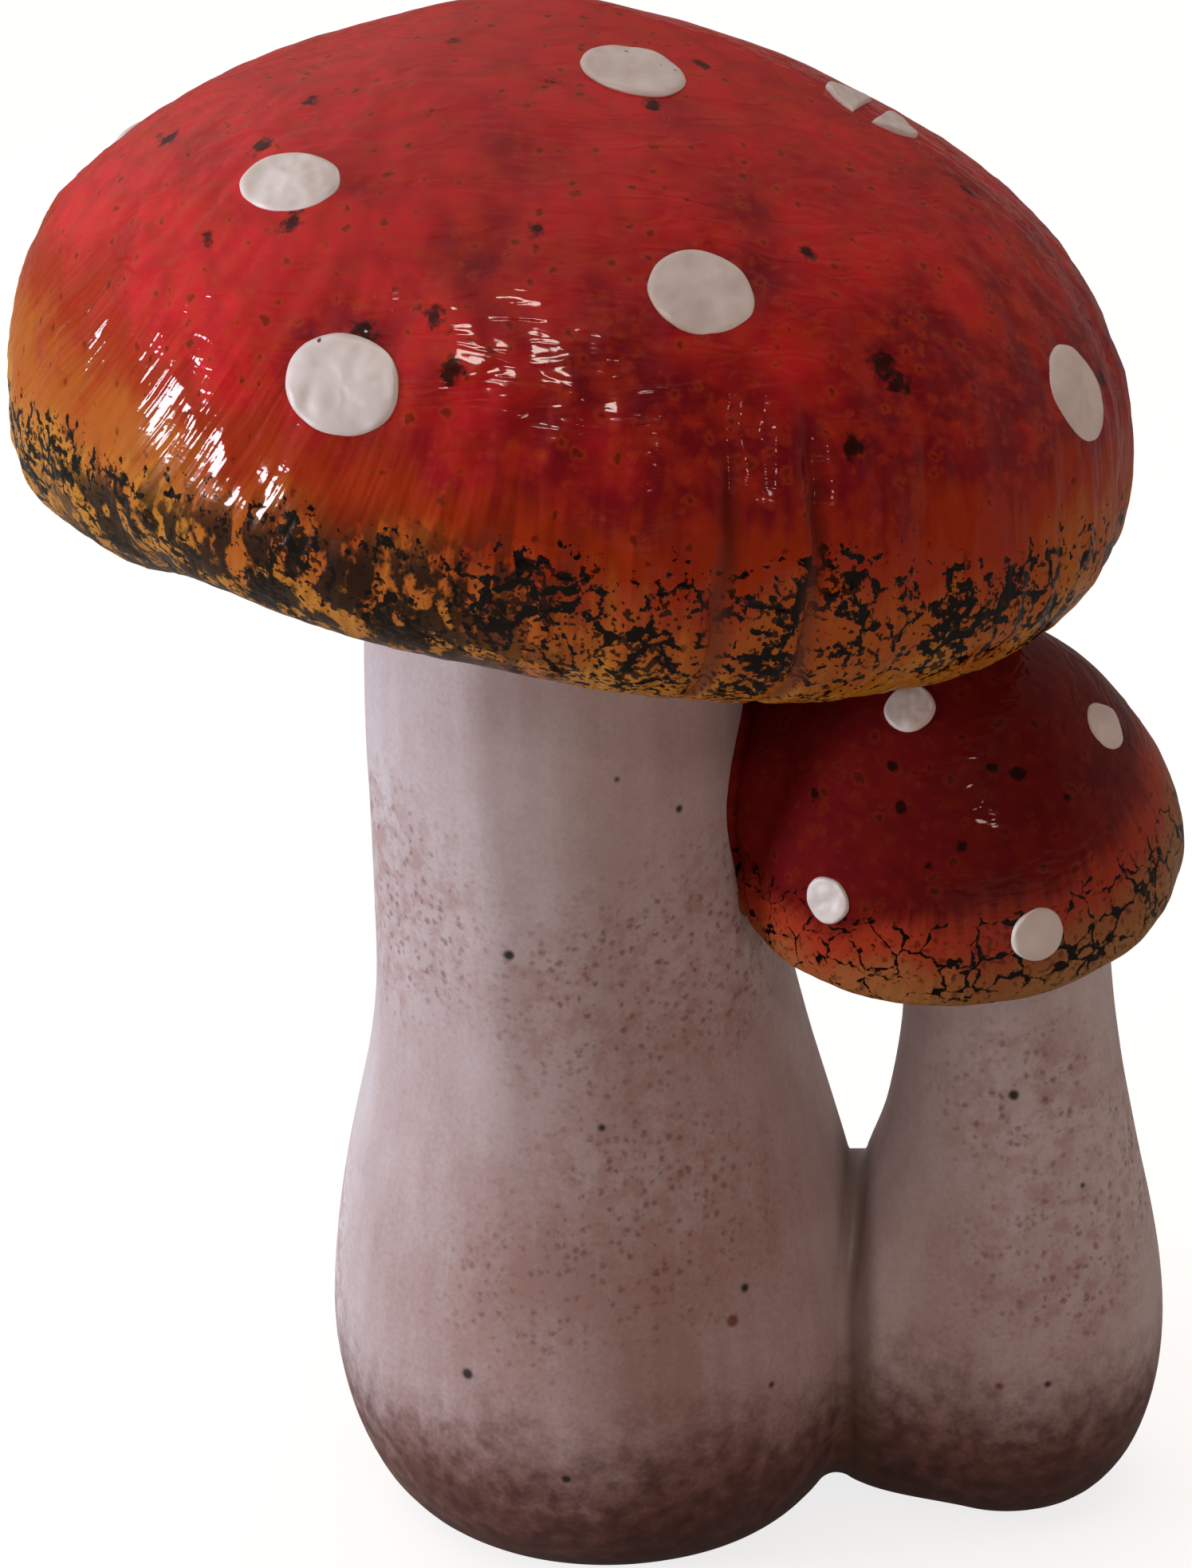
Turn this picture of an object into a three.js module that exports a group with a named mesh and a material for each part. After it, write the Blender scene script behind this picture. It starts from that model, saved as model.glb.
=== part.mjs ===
// Toadstool pair: a garden ornament in glazed earthenware, a small toadstool leaning on a large one.
// Stems and caps are hollow castings, luted together with slip, and the white spots are raised dabs of slip.
// Millimetres, Z up, standing on z = 0. The front faces -Y and the small toadstool is on the +X side.
import * as THREE from 'three';

// Gaps: between neighbouring pieces, and between pressed walls where a layer of slip lies
const CLEARANCE = 0.3;
const SLIP_LAYER = 1.3;
const PRESS_SOFTNESS = 2.5;

// Stems: radii at foot, belly, waist and neck, with the heights and slopes that shape the side
const LARGE_STEM = {
  base: [0, 0], lean: [-2.4, 0], straightTo: 95,
  foot: 32, belly: 49.2, bellyHeight: 37, waist: 36, waistHeight: 104, waistSlope: -0.08, neck: 31.5,
  bore: 25, wall: 6, collar: 9, spigot: 25.5, spigotHeight: 10, throat: 19.5, segments: 40,
};
const SMALL_STEM = {
  base: [70.4, -5], lean: [0.4, -1], straightTo: 88,
  foot: 12.5, belly: 28.6, bellyHeight: 32, waist: 18.4, waistHeight: 95, waistSlope: -0.06, neck: 17.8,
  bore: 7.5, wall: 5, collar: 6, spigot: 13.5, spigotHeight: 8, throat: 9, segments: 40,
};

// Caps: equator radius, rise of the dome, drop of the rolled rim, and the powers that set the dome's fullness
const LARGE_CAP = {
  centre: [-4.4, -1, 199], pitch: -10.3, roll: 5.3,
  radius: 90.6, rise: 75.5, drop: 22.5, planPower: 1.33, risePower: 2.82,
  lip: 66.6, hub: 40, hubHeight: -16, socketOffset: [0, 0], wall: 6.5,
  crownShift: [-5.8, 4.3], oval: 0.058, ovalTurn: -32,
  saddle: 4.9, saddleTurn: 33, triad: 0.9, triadTurn: -9,
  creases: [-74.25, -65.25], creaseDepth: 1.8, creaseWidth: 4.5, pleatDepth: 0.35, segments: 80, rows: 12,
};
const SMALL_CAP = {
  centre: [60, -11, 128.8], pitch: 14, roll: -2,
  radius: 39.5, rise: 44, drop: 6.5, planPower: 1.8, risePower: 1.8,
  lip: 28.4, hub: 24, hubHeight: -6.5, socketOffset: [9.5, 2], wall: 5,
  crownShift: [0, 0], oval: 0, ovalTurn: 0, saddle: 0, saddleTurn: 0, triad: 0, triadTurn: 0,
  creases: [], creaseDepth: 0, creaseWidth: 1, pleatDepth: 0.2, segments: 48, rows: 9,
};

// Pleats in the caps' sides: waves round the rim as count and phase, fading out between two shares of the rise
const PLEATS = { waves: [[11, 0.6], [19, 2.1], [27, 4.4]], fullBelow: 0.3, noneAbove: 0.62 };
const CROWN_SHIFT_POWER = 1.5;

// White spots: azimuth from +X and drop from the cap's axis in degrees, then width and length in millimetres
const LARGE_SPOTS = [
  [-68.5, 25, 17.4, 17.4], [-128, 57, 16.5, 16.5], [-114.5, 77, 17.4, 17.4], [-74, 60, 17.4, 17.4],
  [-27, 74, 16.5, 16.5], [-8.5, 36.6, 14, 6.8], [-7.5, 43.2, 14, 6.8],
  [34, 70, 16.5, 16.5], [62, 40, 17, 17], [88, 74, 17, 17],
  [122, 48, 16.5, 16.5], [140, 80, 17, 17], [172, 58, 17, 17],
];
const SMALL_SPOTS = [
  [-121, 19, 8.4, 8.4], [-14.5, 41.5, 8.4, 8.4], [-127.5, 69, 8, 8], [-71.5, 75, 8.6, 8.6],
  [72, 50, 8.4, 8.4], [108, 74, 8, 8], [30, 72, 8.4, 8.4],
];
const SPOT_HEIGHT = 1.1;

// Section of a dab of slip, from its middle underneath, round the edge, to its middle on top,
// in shares of half its width and of its height
const DAB_SECTION = [[0, 0], [0.55, 0], [1, 0], [0.93, 0.62], [0.6, 0.94], [0, 1]];
const DAB_SEGMENTS = 12;

// Slip joints
const FILLET = { large: 5, small: 3.5, hollowOut: 0.3, hollowDown: 0.45 };
const BRIDGE = { from: 9, to: 71, fill: 5.5, layer: 0.4, sections: 13, sidePoints: 4 };
const SIDE_SLIP = { height: 126, width: 24, length: 30, thickness: 0.6 };

// Steps of the searches by halving, enough for a thousandth of a millimetre
const HALVINGS = 40;

const rad = THREE.MathUtils.degToRad;
const { clamp, lerp, smoothstep } = THREE.MathUtils;

const material = (color, roughness) => new THREE.MeshStandardMaterial({ color, roughness, metalness: 0 });
const RED_GLAZE = ['#a52522', 0.18];
const STEM_GLAZE = ['#b9aaa6', 0.42];
const SPOT_GLAZE = ['#d6d1c9', 0.3];
const SLIP = ['#8a6f60', 0.55];

function named(name, geometry, finish) {
  const mesh = new THREE.Mesh(geometry, material(...finish));
  mesh.name = name;
  return mesh;
}

// Turns a profile round Z. Each profile point is x = radius, y = height, and place() gives its final position.
function turned(profile, segments, place) {
  const geometry = new THREE.LatheGeometry(profile, segments);
  const position = geometry.attributes.position;
  for (let i = 0; i < position.count; i += 1) {
    const ring = profile[i % profile.length];
    const step = Math.floor(i / profile.length) % segments;
    const point = place(ring, (step / segments) * 2 * Math.PI);
    position.setXYZ(i, point.x, point.y, point.z);
  }
  geometry.computeVertexNormals();
  return geometry;
}

function profilePoint(radius, height, depth = 0) {
  return Object.assign(new THREE.Vector2(radius, height), { depth });
}

// Largest of two lengths, with a rounded change from one to the other
function softMax(a, b, softness) {
  const share = clamp(0.5 + (0.5 * (a - b)) / softness, 0, 1);
  return lerp(b, a, share) + softness * share * (1 - share);
}

// Cubic from one height, radius and slope to the next
function easeRadius(height, from, to) {
  const span = to.height - from.height;
  const t = (height - from.height) / span;
  const start = (1 + 2 * t) * (1 - t) ** 2 * from.radius + t * (1 - t) ** 2 * span * from.slope;
  const end = t * t * (3 - 2 * t) * to.radius + t * t * (t - 1) * span * to.slope;
  return start + end;
}

// Stem: outer radius at a height, quarter-round below the belly and a smooth waist above it
function stemRadius(stem, height) {
  if (height < stem.bellyHeight) {
    const below = 1 - height / stem.bellyHeight;
    return stem.foot + (stem.belly - stem.foot) * Math.sqrt(1 - below * below);
  }
  const belly = { height: stem.bellyHeight, radius: stem.belly, slope: 0 };
  const waist = { height: stem.waistHeight, radius: stem.waist, slope: stem.waistSlope };
  const neck = { height: stem.bendTop, radius: stem.neck, slope: 0 };
  if (height < stem.waistHeight) return easeRadius(height, belly, waist);
  return easeRadius(Math.min(height, neck.height), waist, neck);
}

// Stem: centre of the ring at a height, straight at first, then curving into the collar on the cap's axis
function stemCentre(stem, height) {
  const top = new THREE.Vector3(stem.base[0] + stem.lean[0], stem.base[1] + stem.lean[1], stem.straightTo);
  const foot = new THREE.Vector3(stem.base[0], stem.base[1], 0);
  if (height <= stem.straightTo) return foot.lerp(top, height / stem.straightTo);
  const onAxis = (level) => stem.seat.clone().addScaledVector(stem.axis, level - stem.seat.z);
  if (height >= stem.bendTop) return onAxis(height);
  const reach = stem.bendTop - stem.straightTo;
  const leave = top.clone().sub(foot).multiplyScalar(reach / stem.straightTo / 3).add(top);
  const bend = new THREE.CubicBezierCurve3(top, leave, onAxis(stem.bendTop - reach / 3), onAxis(stem.bendTop));
  return bend.getPoint((height - stem.straightTo) / reach);
}

function stemPlace(stem, ring, angle) {
  const tilt = new THREE.Quaternion();
  const share = smoothstep(ring.y, stem.straightTo, stem.bendTop);
  tilt.slerp(stem.turn, share);
  const offset = new THREE.Vector3(ring.x * Math.cos(angle), ring.x * Math.sin(angle), 0);
  return offset.applyQuaternion(tilt).add(stemCentre(stem, ring.y));
}

// Stem profile: foot ring, outside, shoulder and spigot, then back down the bore
function stemProfile(stem) {
  const seat = stem.seat.z;
  const points = [profilePoint(stem.bore, 0, stem.wall), profilePoint(stem.foot, 0)];
  const lowerSteps = 5;
  for (let k = 1; k <= lowerSteps; k += 1) {
    const height = stem.bellyHeight * (1 - Math.cos((k / lowerSteps) * (Math.PI / 2)));
    points.push(profilePoint(stemRadius(stem, height), height));
  }
  const upperSteps = 7;
  for (let k = 1; k <= upperSteps; k += 1) {
    const height = lerp(stem.bellyHeight, stem.bendTop, k / upperSteps);
    points.push(profilePoint(stemRadius(stem, height), height));
  }
  points.push(profilePoint(stem.neck, seat), profilePoint(stem.spigot, seat));
  const spigotTop = seat + stem.spigotHeight;
  points.push(profilePoint(stem.spigot, spigotTop), profilePoint(stem.throat, spigotTop));
  points.push(profilePoint(stem.throat, seat - stem.wall, stem.wall));
  const innerSteps = 4;
  for (let k = 1; k <= innerSteps; k += 1) {
    const height = lerp(seat - 3 * stem.wall, stem.bellyHeight, k / innerSteps);
    points.push(profilePoint(stemRadius(stem, height) - stem.wall, height, stem.wall));
  }
  const innerBelly = stem.belly - stem.wall;
  const footSteps = 3;
  for (let k = 1; k <= footSteps; k += 1) {
    const fall = Math.cos((k / footSteps) * (Math.PI / 2));
    const height = stem.wall + (stem.bellyHeight - stem.wall) * (1 - Math.sin((k / footSteps) * (Math.PI / 2)));
    points.push(profilePoint(lerp(stem.bore, innerBelly, fall), height, stem.wall));
  }
  points.push(points[0]);
  return points;
}

// Moves a point of a soft wall out of the large stem, leaving room for a layer of slip
function pressed(point, depth) {
  const centre = stemCentre(LARGE_STEM, point.z);
  const reach = stemRadius(LARGE_STEM, point.z) + SLIP_LAYER + depth;
  const away = new THREE.Vector2(point.x - centre.x, point.y - centre.y);
  away.setLength(softMax(away.length(), reach, PRESS_SOFTNESS));
  return new THREE.Vector3(centre.x + away.x, centre.y + away.y, point.z);
}

// Cap: how far a point lies outside the plain dome, with 1 on its surface
function domeLevel(cap, point) {
  const plan = Math.hypot(point.x, point.y) / cap.radius;
  const rise = Math.max(point.z, 0) / cap.rise;
  return plan ** cap.planPower + rise ** cap.risePower;
}

function domeNormal(cap, point) {
  const plan = Math.hypot(point.x, point.y);
  const outward = (cap.planPower / cap.radius) * (plan / cap.radius) ** (cap.planPower - 1);
  const upward = (cap.risePower / cap.rise) * (Math.max(point.z, 0) / cap.rise) ** (cap.risePower - 1);
  const normal = new THREE.Vector3((outward * point.x) / plan, (outward * point.y) / plan, upward);
  return normal.normalize();
}

// Point where a line from a start point along a direction meets the plain dome
function ontoDome(cap, start, direction, near, far) {
  const point = new THREE.Vector3();
  for (let k = 0; k < HALVINGS; k += 1) {
    const middle = (near + far) / 2;
    point.copy(start).addScaledVector(direction, middle);
    if (domeLevel(cap, point) < 1) near = middle;
    else far = middle;
  }
  return point;
}

// Cap: hand-made unevenness laid over the plain form. Pleats and creases show on the outside only.
function capShape(cap, plain, outside) {
  const plan = Math.hypot(plain.x, plain.y);
  const angle = Math.atan2(plain.y, plain.x);
  const below = plain.z < 0 ? smoothstep(plan, cap.hub, cap.lip) : 1;
  const reach = (plan / cap.radius) ** 2 * below;
  let stretch = 1 + cap.oval * Math.cos(2 * (angle - rad(cap.ovalTurn))) * reach;
  if (outside) {
    const level = plain.z / cap.rise;
    const skirt = (1 - smoothstep(level, PLEATS.fullBelow, PLEATS.noneAbove)) * reach;
    const pleats = PLEATS.waves.reduce((sum, [count, phase]) => sum + Math.cos(count * angle + phase), 0);
    stretch += (cap.pleatDepth * pleats * skirt) / cap.radius;
    for (const crease of cap.creases) {
      const across = Math.sin(angle - rad(crease)) * cap.radius;
      const facing = Math.cos(angle - rad(crease)) > 0 ? 1 : 0;
      const depth = facing * cap.creaseDepth * Math.exp(-((across / cap.creaseWidth) ** 2));
      stretch -= (depth * skirt) / cap.radius;
    }
  }
  const crown = clamp(plain.z / cap.rise, 0, 1) ** CROWN_SHIFT_POWER;
  const socket = plain.z < 0 ? 1 - smoothstep(plan, cap.hub, cap.lip) : 0;
  const warp = cap.saddle * Math.cos(2 * (angle - rad(cap.saddleTurn))) * reach
    + cap.triad * Math.cos(3 * (angle - rad(cap.triadTurn))) * reach;
  return new THREE.Vector3(
    plain.x * stretch + cap.crownShift[0] * crown + cap.socketOffset[0] * socket,
    plain.y * stretch + cap.crownShift[1] * crown + cap.socketOffset[1] * socket,
    plain.z + warp,
  );
}

// Cap profile: inside from the crown to the socket, then underside, rolled rim and dome back to the crown
function capProfile(cap, socket) {
  const points = [];
  const inner = { radius: cap.radius - cap.wall, rise: cap.rise - cap.wall, drop: cap.drop - cap.wall };
  const dome = (form, k, rows, depth) => {
    const slope = (k / rows) * (Math.PI / 2);
    const plan = form.radius * Math.sin(slope) ** (2 / cap.planPower);
    const rise = form.rise * Math.cos(slope) ** (2 / cap.risePower);
    return profilePoint(k === 0 ? 0 : plan, k === rows ? 0 : rise, depth);
  };
  const rim = (form, k, rows, depth) => {
    const slope = (k / rows) * (Math.PI / 2);
    const plan = cap.lip + (form.radius - cap.lip) * Math.cos(slope);
    return profilePoint(plan, -Math.max(form.drop, 0) * Math.sin(slope), depth);
  };
  const innerRows = Math.round(cap.rows / 2);
  const rimRows = 4;
  const innerRimRows = 2;
  for (let k = 0; k <= innerRows; k += 1) points.push(dome(inner, k, innerRows, cap.wall));
  for (let k = 1; k <= innerRimRows; k += 1) points.push(rim(inner, k, innerRimRows, cap.wall));
  points.push(profilePoint(socket, cap.hubHeight + cap.wall, cap.wall), profilePoint(socket, cap.hubHeight));
  points.push(profilePoint(cap.hub, cap.hubHeight));
  for (let k = rimRows; k > 0; k -= 1) points.push(rim(cap, k, rimRows, 0));
  for (let k = cap.rows; k >= 0; k -= 1) points.push(dome(cap, k, cap.rows, 0));
  return points;
}

// Dab of slip: a low lens of the given width, length and height, laid down by place(x, y, height)
function dab(width, length, height, place) {
  const points = DAB_SECTION.map(([across, up]) => profilePoint(across, up * height));
  return turned(points, DAB_SEGMENTS, (ring, angle) =>
    place((ring.x * Math.cos(angle) * width) / 2, (ring.x * Math.sin(angle) * length) / 2, ring.y));
}

// White spot on a cap: the dab follows the dome and then takes the cap's unevenness
function spot(cap, azimuth, drop, width, length) {
  const aim = new THREE.Vector3().setFromSphericalCoords(1, rad(drop), rad(azimuth) + Math.PI / 2);
  const outward = new THREE.Vector3(aim.x, -aim.z, aim.y);
  const centre = ontoDome(cap, new THREE.Vector3(), outward, 0, 2 * cap.radius);
  const normal = domeNormal(cap, centre);
  const around = new THREE.Vector3(-centre.y, centre.x, 0).normalize();
  const downhill = new THREE.Vector3().crossVectors(around, normal);
  return dab(width, length, SPOT_HEIGHT, (x, y, height) => {
    const flat = centre.clone().addScaledVector(around, x).addScaledVector(downhill, -y);
    const seat = ontoDome(cap, flat, normal, -width, width);
    const raised = seat.clone().addScaledVector(domeNormal(cap, seat), height + CLEARANCE);
    return capShape(cap, raised, true);
  });
}

function capGroup(cap) {
  const group = new THREE.Group();
  group.position.set(...cap.centre);
  group.rotation.set(rad(cap.pitch), rad(cap.roll), 0);
  group.updateMatrix();
  return group;
}

// Puts a stem's seat under its cap's socket
function seatStem(stem, cap, group) {
  const below = new THREE.Vector3(...cap.socketOffset, cap.hubHeight - CLEARANCE);
  stem.seat = below.applyMatrix4(group.matrix);
  stem.turn = group.quaternion.clone();
  stem.axis = new THREE.Vector3(0, 0, 1).applyQuaternion(stem.turn);
  stem.bendTop = stem.seat.z - stem.collar;
}

// Fillet ring of slip in the corner between a stem's neck and its cap
function filletRing(stem, cap, leg) {
  const top = cap.hubHeight - CLEARANCE;
  const inside = stem.neck + CLEARANCE;
  const profile = [
    profilePoint(inside, top - leg),
    profilePoint(inside + FILLET.hollowOut * leg, top - FILLET.hollowDown * leg),
    profilePoint(inside + leg, top),
    profilePoint(inside, top),
  ];
  profile.push(profile[0]);
  const [x, y] = cap.socketOffset;
  return turned(profile, stem.segments, (ring, angle) =>
    new THREE.Vector3(x + ring.x * Math.cos(angle), y + ring.x * Math.sin(angle), ring.y));
}

// Skins rings of equal point counts and closes both ends
function loft(rings) {
  const count = rings[0].length;
  const indices = [];
  for (let k = 0; k + 1 < rings.length; k += 1) {
    for (let i = 0; i < count; i += 1) {
      const a = k * count + i;
      const b = k * count + ((i + 1) % count);
      indices.push(a, b, b + count, a, b + count, a + count);
    }
  }
  const flat = (ring) => ring.map((point) => new THREE.Vector2(point.x, point.y));
  const last = (rings.length - 1) * count;
  for (const [a, b, c] of THREE.ShapeUtils.triangulateShape(flat(rings[0]), [])) indices.push(c, b, a);
  for (const [a, b, c] of THREE.ShapeUtils.triangulateShape(flat(rings.at(-1)), [])) {
    indices.push(last + a, last + b, last + c);
  }
  const geometry = new THREE.BufferGeometry().setFromPoints(rings.flat());
  geometry.setIndex(indices);
  geometry.computeVertexNormals();
  return geometry;
}

// Web of slip between the stems. At each height it fills the crease, out to where the walls are a set
// distance apart.
function bridgeSection(height) {
  const large = stemCentre(LARGE_STEM, height);
  const small = stemCentre(SMALL_STEM, height);
  const facing = Math.atan2(large.y - small.y, large.x - small.x);
  const inner = stemRadius(LARGE_STEM, height) + CLEARANCE;
  const outer = stemRadius(SMALL_STEM, height) + 2 * CLEARANCE;
  const walls = (turn) => {
    const x = small.x + outer * Math.cos(facing + turn) - large.x;
    const y = small.y + outer * Math.sin(facing + turn) - large.y;
    const reach = softMax(Math.hypot(x, y), inner + BRIDGE.layer, PRESS_SOFTNESS);
    const along = new THREE.Vector3(x, y, 0).normalize();
    const onLarge = large.clone().addScaledVector(along, inner);
    const onSmall = large.clone().addScaledVector(along, reach);
    return { onLarge, onSmall, apart: reach - inner };
  };
  let near = 0;
  let far = Math.PI / 2;
  for (let k = 0; k < HALVINGS; k += 1) {
    const middle = (near + far) / 2;
    if (walls(middle).apart < BRIDGE.fill) near = middle;
    else far = middle;
  }
  const pairs = [];
  for (let k = -BRIDGE.sidePoints; k <= BRIDGE.sidePoints; k += 1) {
    pairs.push(walls((-near * k) / BRIDGE.sidePoints));
  }
  const between = (pair) => pair.onLarge.clone().lerp(pair.onSmall, 0.5);
  const hollow = (end, next) => between(end).lerp(between(next), 0.5);
  return [
    ...pairs.map((pair) => pair.onSmall),
    hollow(pairs.at(-1), pairs.at(-2)),
    ...pairs.map((pair) => pair.onLarge).reverse(),
    hollow(pairs[0], pairs[1]),
  ];
}

function bridge() {
  const sections = [];
  for (let k = 0; k < BRIDGE.sections; k += 1) {
    sections.push(bridgeSection(lerp(BRIDGE.from, BRIDGE.to, k / (BRIDGE.sections - 1))));
  }
  return loft(sections);
}

// Dab of slip squeezed between the small cap and the large stem
function sideSlip() {
  const centre = stemCentre(LARGE_STEM, SIDE_SLIP.height);
  const toCap = Math.atan2(SMALL_CAP.centre[1] - centre.y, SMALL_CAP.centre[0] - centre.x);
  return dab(SIDE_SLIP.width, SIDE_SLIP.length, SIDE_SLIP.thickness, (x, y, height) => {
    const level = SIDE_SLIP.height + y;
    const radius = stemRadius(LARGE_STEM, level);
    const ring = profilePoint(radius + CLEARANCE + height, level);
    return stemPlace(LARGE_STEM, ring, toCap + x / radius);
  });
}

const largeCapGroup = capGroup(LARGE_CAP);
const smallCapGroup = capGroup(SMALL_CAP);
seatStem(LARGE_STEM, LARGE_CAP, largeCapGroup);
seatStem(SMALL_STEM, SMALL_CAP, smallCapGroup);

const plainPoint = (ring, angle) =>
  new THREE.Vector3(ring.x * Math.cos(angle), ring.x * Math.sin(angle), ring.y);

// A row of the large cap's facets runs down each crease
const [firstCrease] = LARGE_CAP.creases;
const largeCapWall = (ring, angle) =>
  capShape(LARGE_CAP, plainPoint(ring, angle + rad(firstCrease)), ring.depth === 0);
const intoSmallCap = smallCapGroup.matrix.clone().invert();
const smallCapWall = (ring, angle) => {
  const free = capShape(SMALL_CAP, plainPoint(ring, angle), ring.depth === 0);
  return pressed(free.applyMatrix4(smallCapGroup.matrix), ring.depth).applyMatrix4(intoSmallCap);
};

const largeSocket = LARGE_STEM.spigot + CLEARANCE;
const smallSocket = SMALL_STEM.spigot + CLEARANCE;

largeCapGroup.add(
  named('large_cap', turned(capProfile(LARGE_CAP, largeSocket), LARGE_CAP.segments, largeCapWall), RED_GLAZE),
  named('large_cap_slip', filletRing(LARGE_STEM, LARGE_CAP, FILLET.large), SLIP),
);
smallCapGroup.add(
  named('small_cap', turned(capProfile(SMALL_CAP, smallSocket), SMALL_CAP.segments, smallCapWall), RED_GLAZE),
  named('small_cap_slip', filletRing(SMALL_STEM, SMALL_CAP, FILLET.small), SLIP),
);
LARGE_SPOTS.forEach((place, k) => {
  largeCapGroup.add(named(`large_spot_${k + 1}`, spot(LARGE_CAP, ...place), SPOT_GLAZE));
});
SMALL_SPOTS.forEach((place, k) => {
  smallCapGroup.add(named(`small_spot_${k + 1}`, spot(SMALL_CAP, ...place), SPOT_GLAZE));
});

const largeStemWall = (ring, angle) => stemPlace(LARGE_STEM, ring, angle);
const smallStemWall = (ring, angle) => pressed(stemPlace(SMALL_STEM, ring, angle), ring.depth);

const pair = new THREE.Group();
pair.add(
  named('large_stem', turned(stemProfile(LARGE_STEM), LARGE_STEM.segments, largeStemWall), STEM_GLAZE),
  named('small_stem', turned(stemProfile(SMALL_STEM), SMALL_STEM.segments, smallStemWall), STEM_GLAZE),
  named('stem_bridge', bridge(), SLIP),
  named('cap_side_slip', sideSlip(), SLIP),
  largeCapGroup,
  smallCapGroup,
);

// The origin is the middle of the pair's footprint on the ground
const middle = new THREE.Box3().setFromObject(pair, true).getCenter(new THREE.Vector3());
pair.position.set(-middle.x, -middle.y, 0);

const statue = new THREE.Group();
statue.add(pair);

export default statue;
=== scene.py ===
import math

import bmesh
import bpy
from mathutils import Euler, Matrix, Vector, noise
from mathutils.bvhtree import BVHTree


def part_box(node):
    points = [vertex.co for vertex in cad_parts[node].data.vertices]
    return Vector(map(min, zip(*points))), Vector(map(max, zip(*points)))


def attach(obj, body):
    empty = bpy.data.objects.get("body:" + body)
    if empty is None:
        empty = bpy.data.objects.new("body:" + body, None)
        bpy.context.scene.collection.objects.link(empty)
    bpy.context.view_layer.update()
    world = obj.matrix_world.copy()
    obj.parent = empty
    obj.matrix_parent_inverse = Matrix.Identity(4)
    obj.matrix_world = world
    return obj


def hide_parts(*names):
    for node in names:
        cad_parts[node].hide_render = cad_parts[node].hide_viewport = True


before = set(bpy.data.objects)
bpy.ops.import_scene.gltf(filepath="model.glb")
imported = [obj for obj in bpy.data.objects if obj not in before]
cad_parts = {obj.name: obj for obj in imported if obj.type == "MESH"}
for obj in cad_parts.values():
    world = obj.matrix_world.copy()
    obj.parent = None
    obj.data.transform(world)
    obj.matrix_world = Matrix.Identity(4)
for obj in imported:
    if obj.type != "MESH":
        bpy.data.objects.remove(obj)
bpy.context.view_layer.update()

# Large stem. A hollow earthenware casting with a round belly and a narrow waist, open at the foot where the
# spare slip ran out. Its sides were smoothed by hand while leather hard, which left soft upright flats. It
# was dipped in an off-white satin glaze, spattered pink and brown, and rubbed with brown oxide at the foot.
MM = 0.001
STEM_HALVINGS = 2
WELD_REACH = 0.001 * MM
POLE_EDGES = 12
ON_GROUND, GROUND_BAND = 0.01 * MM, 3.0 * MM
FOOT_EDGE_CREASE = 0.8
LARGE_STEM_AXIS = Vector((-1.27, -0.31, 0.0)) * MM
LARGE_STEM_LEAN = -7.0 / 205.0
FLAT_EDGES = {-158: 0.5 * MM, -112: 1.5 * MM, -45: 0.5 * MM, 24: 0.5 * MM, 84: 0.8 * MM, 150: 0.6 * MM}
FLAT_EDGE_WIDTH = math.radians(9)
FLATS_FROM, FLATS_FULL = 55 * MM, 115 * MM
DENT_SIZE, DENT_DEPTH = 30 * MM, 0.4 * MM
WAVE_SIZE, WAVE_DEPTH = 9 * MM, 0.07 * MM


def piece_from(clay, name):
    """New object in the scene made of an edited mesh, which is used up."""
    mesh = bpy.data.meshes.new(name)
    clay.to_mesh(mesh)
    clay.free()
    piece = bpy.data.objects.new(name, mesh)
    bpy.context.scene.collection.objects.link(piece)
    return piece


def settle(piece):
    """Turns a piece into the plain mesh that its modifiers make."""
    bpy.context.view_layer.update()
    solid = piece.evaluated_get(bpy.context.evaluated_depsgraph_get())
    mesh = bpy.data.meshes.new_from_object(solid)
    piece.modifiers.clear()
    piece.data = mesh


def clay_copy(node, name, halvings, outside=None):
    """New object from a casting's CAD facets, joined to quads and halved into a smooth skin.

    Facets that meet in a pole stay triangles, and the edges on the ground stay crisp. outside, a point in
    the casting and the rise of its socket, keeps the outer wall only and closes that socket.
    """
    clay = bmesh.new()
    clay.from_mesh(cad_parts[node].data)
    bmesh.ops.remove_doubles(clay, verts=clay.verts, dist=WELD_REACH)
    poles = {vert for vert in clay.verts if len(vert.link_edges) > POLE_EDGES}
    bmesh.ops.join_triangles(
        clay,
        faces=[face for face in clay.faces if not poles.intersection(face.verts)],
        angle_face_threshold=math.pi,
        angle_shape_threshold=math.pi,
        topology_influence=1.0,
    )
    if outside:
        middle, upward = outside
        inner = [face for face in clay.faces if face.normal.dot(face.calc_center_median() - middle) < 0]
        bmesh.ops.delete(clay, geom=inner, context="FACES")
        rim = [edge for edge in clay.edges if edge.is_boundary]
        raised = bmesh.ops.extrude_edge_only(clay, edges=rim)["geom"]
        corners = [item for item in raised if isinstance(item, bmesh.types.BMVert)]
        bmesh.ops.translate(clay, verts=corners, vec=upward)
        bmesh.ops.holes_fill(clay, edges=[edge for edge in clay.edges if edge.is_boundary], sides=0)
    crease = clay.edges.layers.float.new("crease_edge")
    for edge in clay.edges:
        if all(vert.co.z < ON_GROUND for vert in edge.verts):
            edge[crease] = FOOT_EDGE_CREASE
    piece = piece_from(clay, name)
    piece.data.shade_smooth()
    smoothing = piece.modifiers.new("skin", "SUBSURF")
    smoothing.levels = smoothing.render_levels = halvings
    settle(piece)
    return piece


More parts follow.
